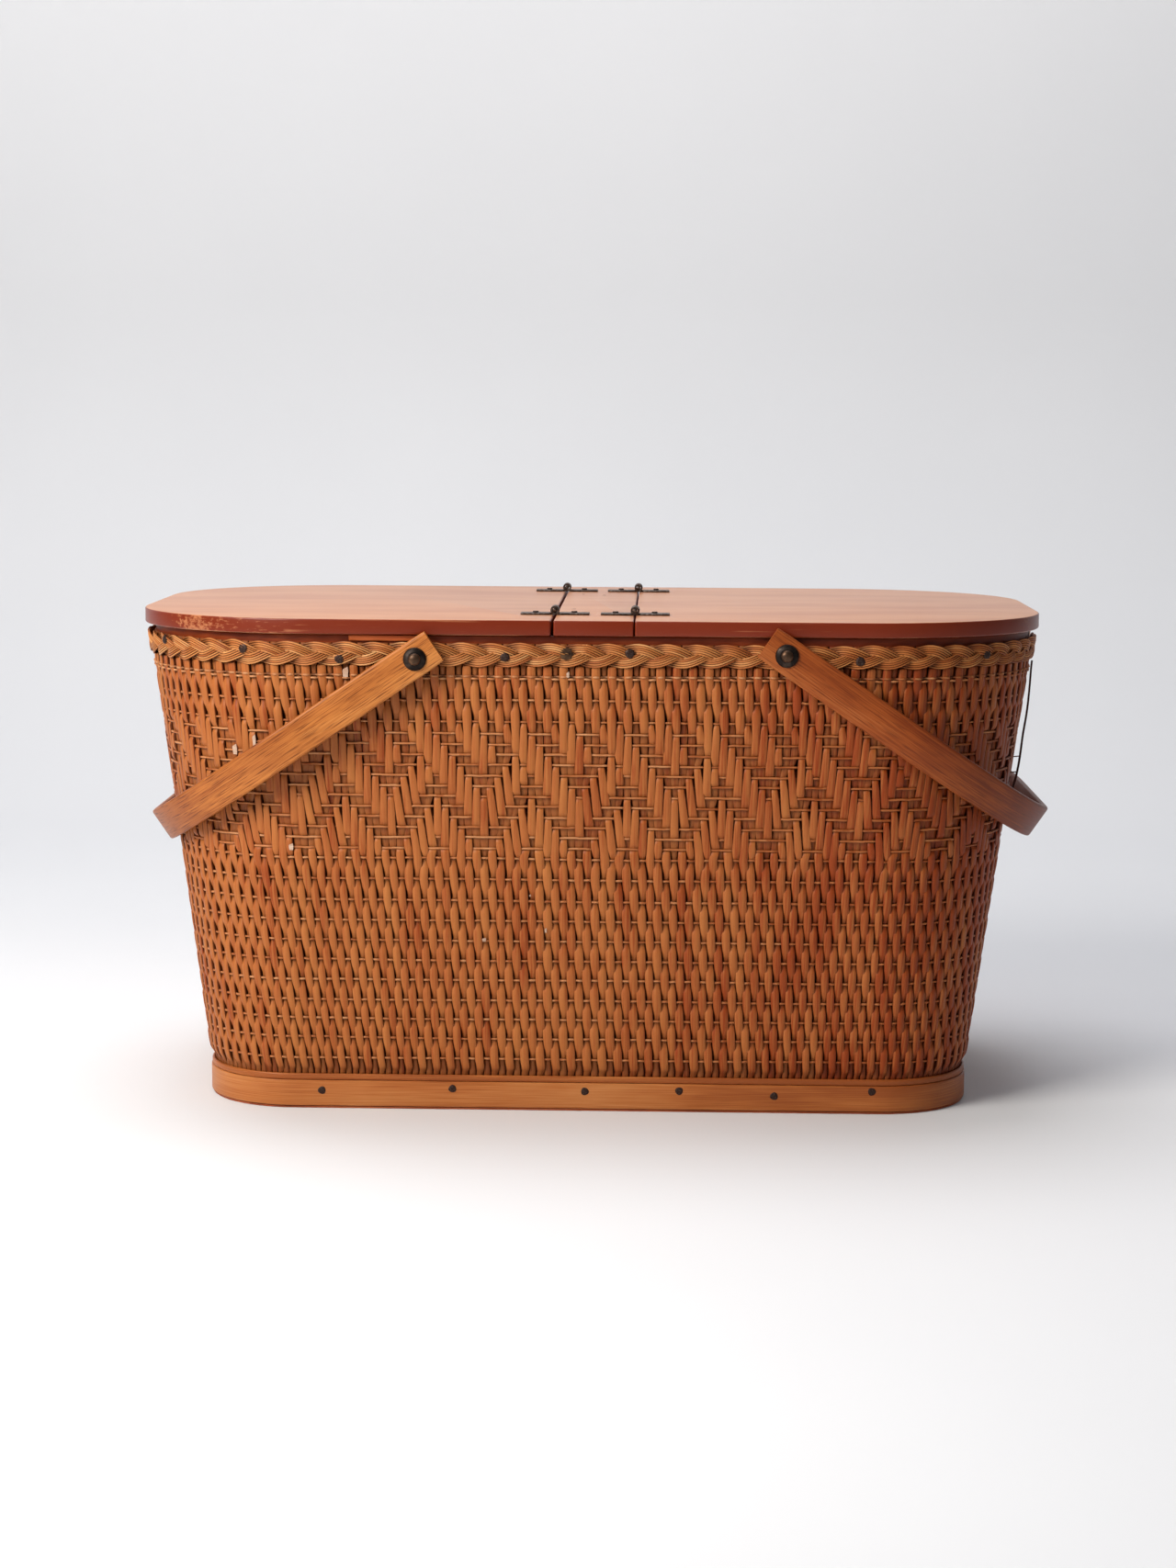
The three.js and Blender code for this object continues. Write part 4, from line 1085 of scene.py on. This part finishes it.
def make_sprung_stake():
    """A stake sprung loose at the right end. How far it stands off is evened out over five rings,
    and it narrows towards its foot. It carries full painted shade, and the cord ends that hold it most
    of it."""
    z = np.linspace(SPRUNG[0, 0], SPRUNG[-1, 0], 34)
    stand = np.interp(z, SPRUNG[::-1, 0], SPRUNG[::-1, 1])
    stand = 0.65 * np.convolve(np.pad(stand, 2, mode="edge"), np.full(5, 0.2), mode="valid")
    across = np.array([-1.1, 1.1, 1.1, -1.1])
    up = np.array([-0.55, -0.55, 0.55, 0.55])
    run = across * (1 - 0.3 * smooth((190 - z) / 25))[:, None]
    wall = around(wall_sizes(z), np.full(len(z), SPRUNG_WAY))
    rings = off_wall(wall, stand[:, None] + up, run, z[:, None])
    piece("sprung_stake", capped(rings), "basket", splint, [],
          {"painted_shade": np.ones(run.shape)}, crease=SHARP_EDGE)
    ends = []
    for height in CORD_ENDS:
        place, outward = front_place(wall_sizes(height), SPRUNG_WAY)
        profile = [(AXIS, -1), (0.35, -1), (0.35, 3.8), (AXIS, 4.0)]
        ends.append(capped(turned_shape(profile, (*place, height), (*outward, 0.1), 6)))
    shape = merged(ends)
    piece("sprung_cord_ends", shape, "basket", splint, [],
          {"painted_shade": np.full(len(shape[0]), 0.7)})


def make_broken_ends():
    """Broken ends of stakes, where pale wood shows: each is three rings of four points, slanted
    at its top. The way to its x is found by trying and correcting twelve times."""
    shapes = []
    for x, z, wide, high in CHIPS:
        way = abs(x) / QUARTER
        for _ in range(12):
            near = front_place(wall_sizes(z), way)[0][0]
            way += (abs(x) - near) / QUARTER * (1 if near < RIM[0] - RIM[2] else 1.5)
        place, outward = front_place(wall_sizes(z), math.copysign(way, x))
        place = np.array([*place, z])
        outward = np.array([*outward, 0])
        side = np.array([-outward[1], outward[0], 0])
        corners = []
        for h, w, o in [(-0.5, 0.8, -0.2), (0.2, 1.0, 0.35), (0.5, 0.75, 0.7)]:
            for a, b in [(-1, -0.2), (1, -0.2), (1, 0.2), (-1, 0.2)]:
                slant = 0.12 * high * a * (h > 0.4)
                corners.append(place + side * a * w * wide / 2 + outward * (o + b)
                               + np.array([0, 0, h * high + slant]))
        shapes.append(capped(np.array(corners).reshape(3, 4, 3)))
    piece("broken_stake_ends", merged(shapes), "basket", raw_splint, crease=30)


def make_bridge_marks():
    """Dark marks on the bridge, each made as a very flat nail head."""
    shapes = [nail_shape(radius, 0.2, 0.4, 2, (x, y, LID_TOP + HAIR), (0, 0, 1))
              for x, y, radius in MARKS]
    piece("dark_marks_on_bridge", merged(shapes), "basket", nail_steel,
          crease=SHARP_EDGE)


# The floor from its front edge to where it bends up, the radius of the bend, the backdrop's top
# and half its length
FLOOR_FRONT = -4000
FLOOR_BACK = 900
BEND = 500
BACKDROP_TOP = 4000
BACKDROP_HALF = 4500


def make_stage():
    """A pale floor that curves up into a pale backdrop, painted lighter with height as painted light,
    which can be looked through from behind.
    """
    turns = np.linspace(0, math.pi / 2, 14)[1:]
    floor = np.linspace(FLOOR_FRONT, FLOOR_BACK, 12)
    depth = np.concatenate([floor, FLOOR_BACK + BEND * np.sin(turns), [FLOOR_BACK + BEND]])
    rise = np.concatenate([0 * floor, BEND * (1 - np.cos(turns)), [BACKDROP_TOP]])
    x = np.linspace(-BACKDROP_HALF, BACKDROP_HALF, 8)
    grid = np.stack(np.broadcast_arrays(x[None, :], depth[:, None], rise[:, None]), -1)
    material, tree, main = shader("pale_paper_backdrop")
    place = add(tree, "TexCoord").outputs["Object"]
    noise = add(tree, "TexNoise", {"Vector": place, "Scale": 3})
    split = add(tree, "SeparateXYZ", {"Vector": place})
    # Painted light: the paper is darker on the floor and lighter up the backdrop
    painted_height_light = add(tree, "MapRange", {"Value": split.outputs[2], "From Max": 0.9, "To Max": 0.8})
    faint = add(tree, "Math", {0: noise, 1: 0.2}, operation="MULTIPLY")
    level = add(tree, "Math", {0: painted_height_light, 1: faint}, operation="ADD")
    feed(tree, main, {
        "Base Color": add(tree, "ValToRGB", {"Fac": level},
                          ramp=[(0.0, "#dcdddf"), (1.0, "#fafafa")]),
        "Roughness": 0.8,
    })
    behind = add(tree, "NewGeometry").outputs["Backfacing"]
    clear = add(tree, "BsdfTransparent")
    sided = add(tree, "MixShader", {0: behind, 1: main, 2: clear})
    feed(tree, tree.nodes["Material Output"], {"Surface": sided})
    mesh = bpy.data.meshes.new("backdrop")
    mesh.from_pydata((grid.reshape(-1, 3) * MM).tolist(), [], quads(len(depth), len(x)).tolist())
    mesh.polygons.foreach_set("use_smooth", np.ones(len(mesh.polygons), bool))
    mesh.materials.append(material)
    made = bpy.data.objects.new("backdrop", mesh)
    bpy.context.scene.collection.objects.link(made)


# The camera, from a fit to the lid, the band and the hinges: its place in mm, its turns in
# radians, and its focal length and the picture's longer side in the photograph's pixels
CAMERA_PLACE = (41.69, -1768.67, 391.95)
CAMERA_TURN = -0.0249
CAMERA_ROLL = 0.0061
CAMERA_TILT = 0.1260
FOCAL_PIXELS = 3289.04
LONG_SIDE_PIXELS = 1707
SENSOR = 36


def make_camera():
    """The camera of the photograph."""
    turn, roll, tilt = CAMERA_TURN, CAMERA_ROLL, CAMERA_TILT
    ahead = np.array([math.sin(turn), math.cos(turn), 0])
    right = np.array([math.cos(turn), -math.sin(turn), 0])
    up = np.array([0, 0, 1.0])
    view = math.cos(tilt) * ahead - math.sin(tilt) * up
    above = math.sin(tilt) * ahead + math.cos(tilt) * up
    across = math.cos(roll) * right + math.sin(roll) * above
    top = -math.sin(roll) * right + math.cos(roll) * above
    data = bpy.data.cameras.new("camera")
    data.sensor_width = SENSOR
    data.lens = FOCAL_PIXELS * SENSOR / LONG_SIDE_PIXELS
    data.clip_start = 0.05
    data.clip_end = 50
    made = bpy.data.objects.new("camera", data)
    rows = [(across[k], top[k], -view[k], CAMERA_PLACE[k] * MM) for k in range(3)]
    made.matrix_world = Matrix((*rows, (0, 0, 0, 1)))
    bpy.context.scene.collection.objects.link(made)
    bpy.context.scene.camera = made


def make_lights():
    """A window light close by at the front left, a weak fill further out, a large light overhead
    and a pale room."""
    for name, place, size, power, tone in (
        ("window", (-0.75, -0.82, 0.85), 0.6, 17, "#fffaf2"),
        ("fill", (-1.4, -2.2, 1.4), 1.6, 5, "#f4f6ff"),
        ("top", (-0.3, 0.5, 2.4), 1.8, 39, "#fbfbff"),
    ):
        data = bpy.data.lights.new(name, "AREA")
        data.size = size
        data.energy = power
        data.color = colour(tone)[:3]
        made = bpy.data.objects.new(name, data)
        made.location = place
        made.rotation_mode = "QUATERNION"
        made.rotation_quaternion = (Vector((0, 0, 0.12)) - Vector(place)).to_track_quat("-Z", "Y")
        bpy.context.scene.collection.objects.link(made)
    world = bpy.data.worlds.new("pale_room")
    world.use_nodes = True
    feed(world.node_tree, world.node_tree.nodes["Background"],
         {"Color": colour("#e8ecf2"), "Strength": 0.22})
    bpy.context.scene.world = world
    bpy.context.scene.view_settings.view_transform = "Standard"


make_camera()
make_lights()
make_stage()
make_stakes()
make_cords()
make_braid()
make_base()
make_hoop()
make_lid()
make_handle("left_handle", HANDLES["left_handle"], left_bentwood)
make_handle("right_handle", HANDLES["right_handle"], shaded_bentwood)
make_rivets()
make_nails()
make_hinges()
make_sprung_stake()
make_broken_ends()
make_bridge_marks()

for node_name, finish in (("rim_screw", bronze), ("bridge_brad_front", nail_steel),
                          ("bridge_brad_back", nail_steel)):
    kept = bpy.data.objects[node_name]
    kept.data.materials.clear()
    kept.data.materials.append(finish)

bpy.context.view_layer.update()
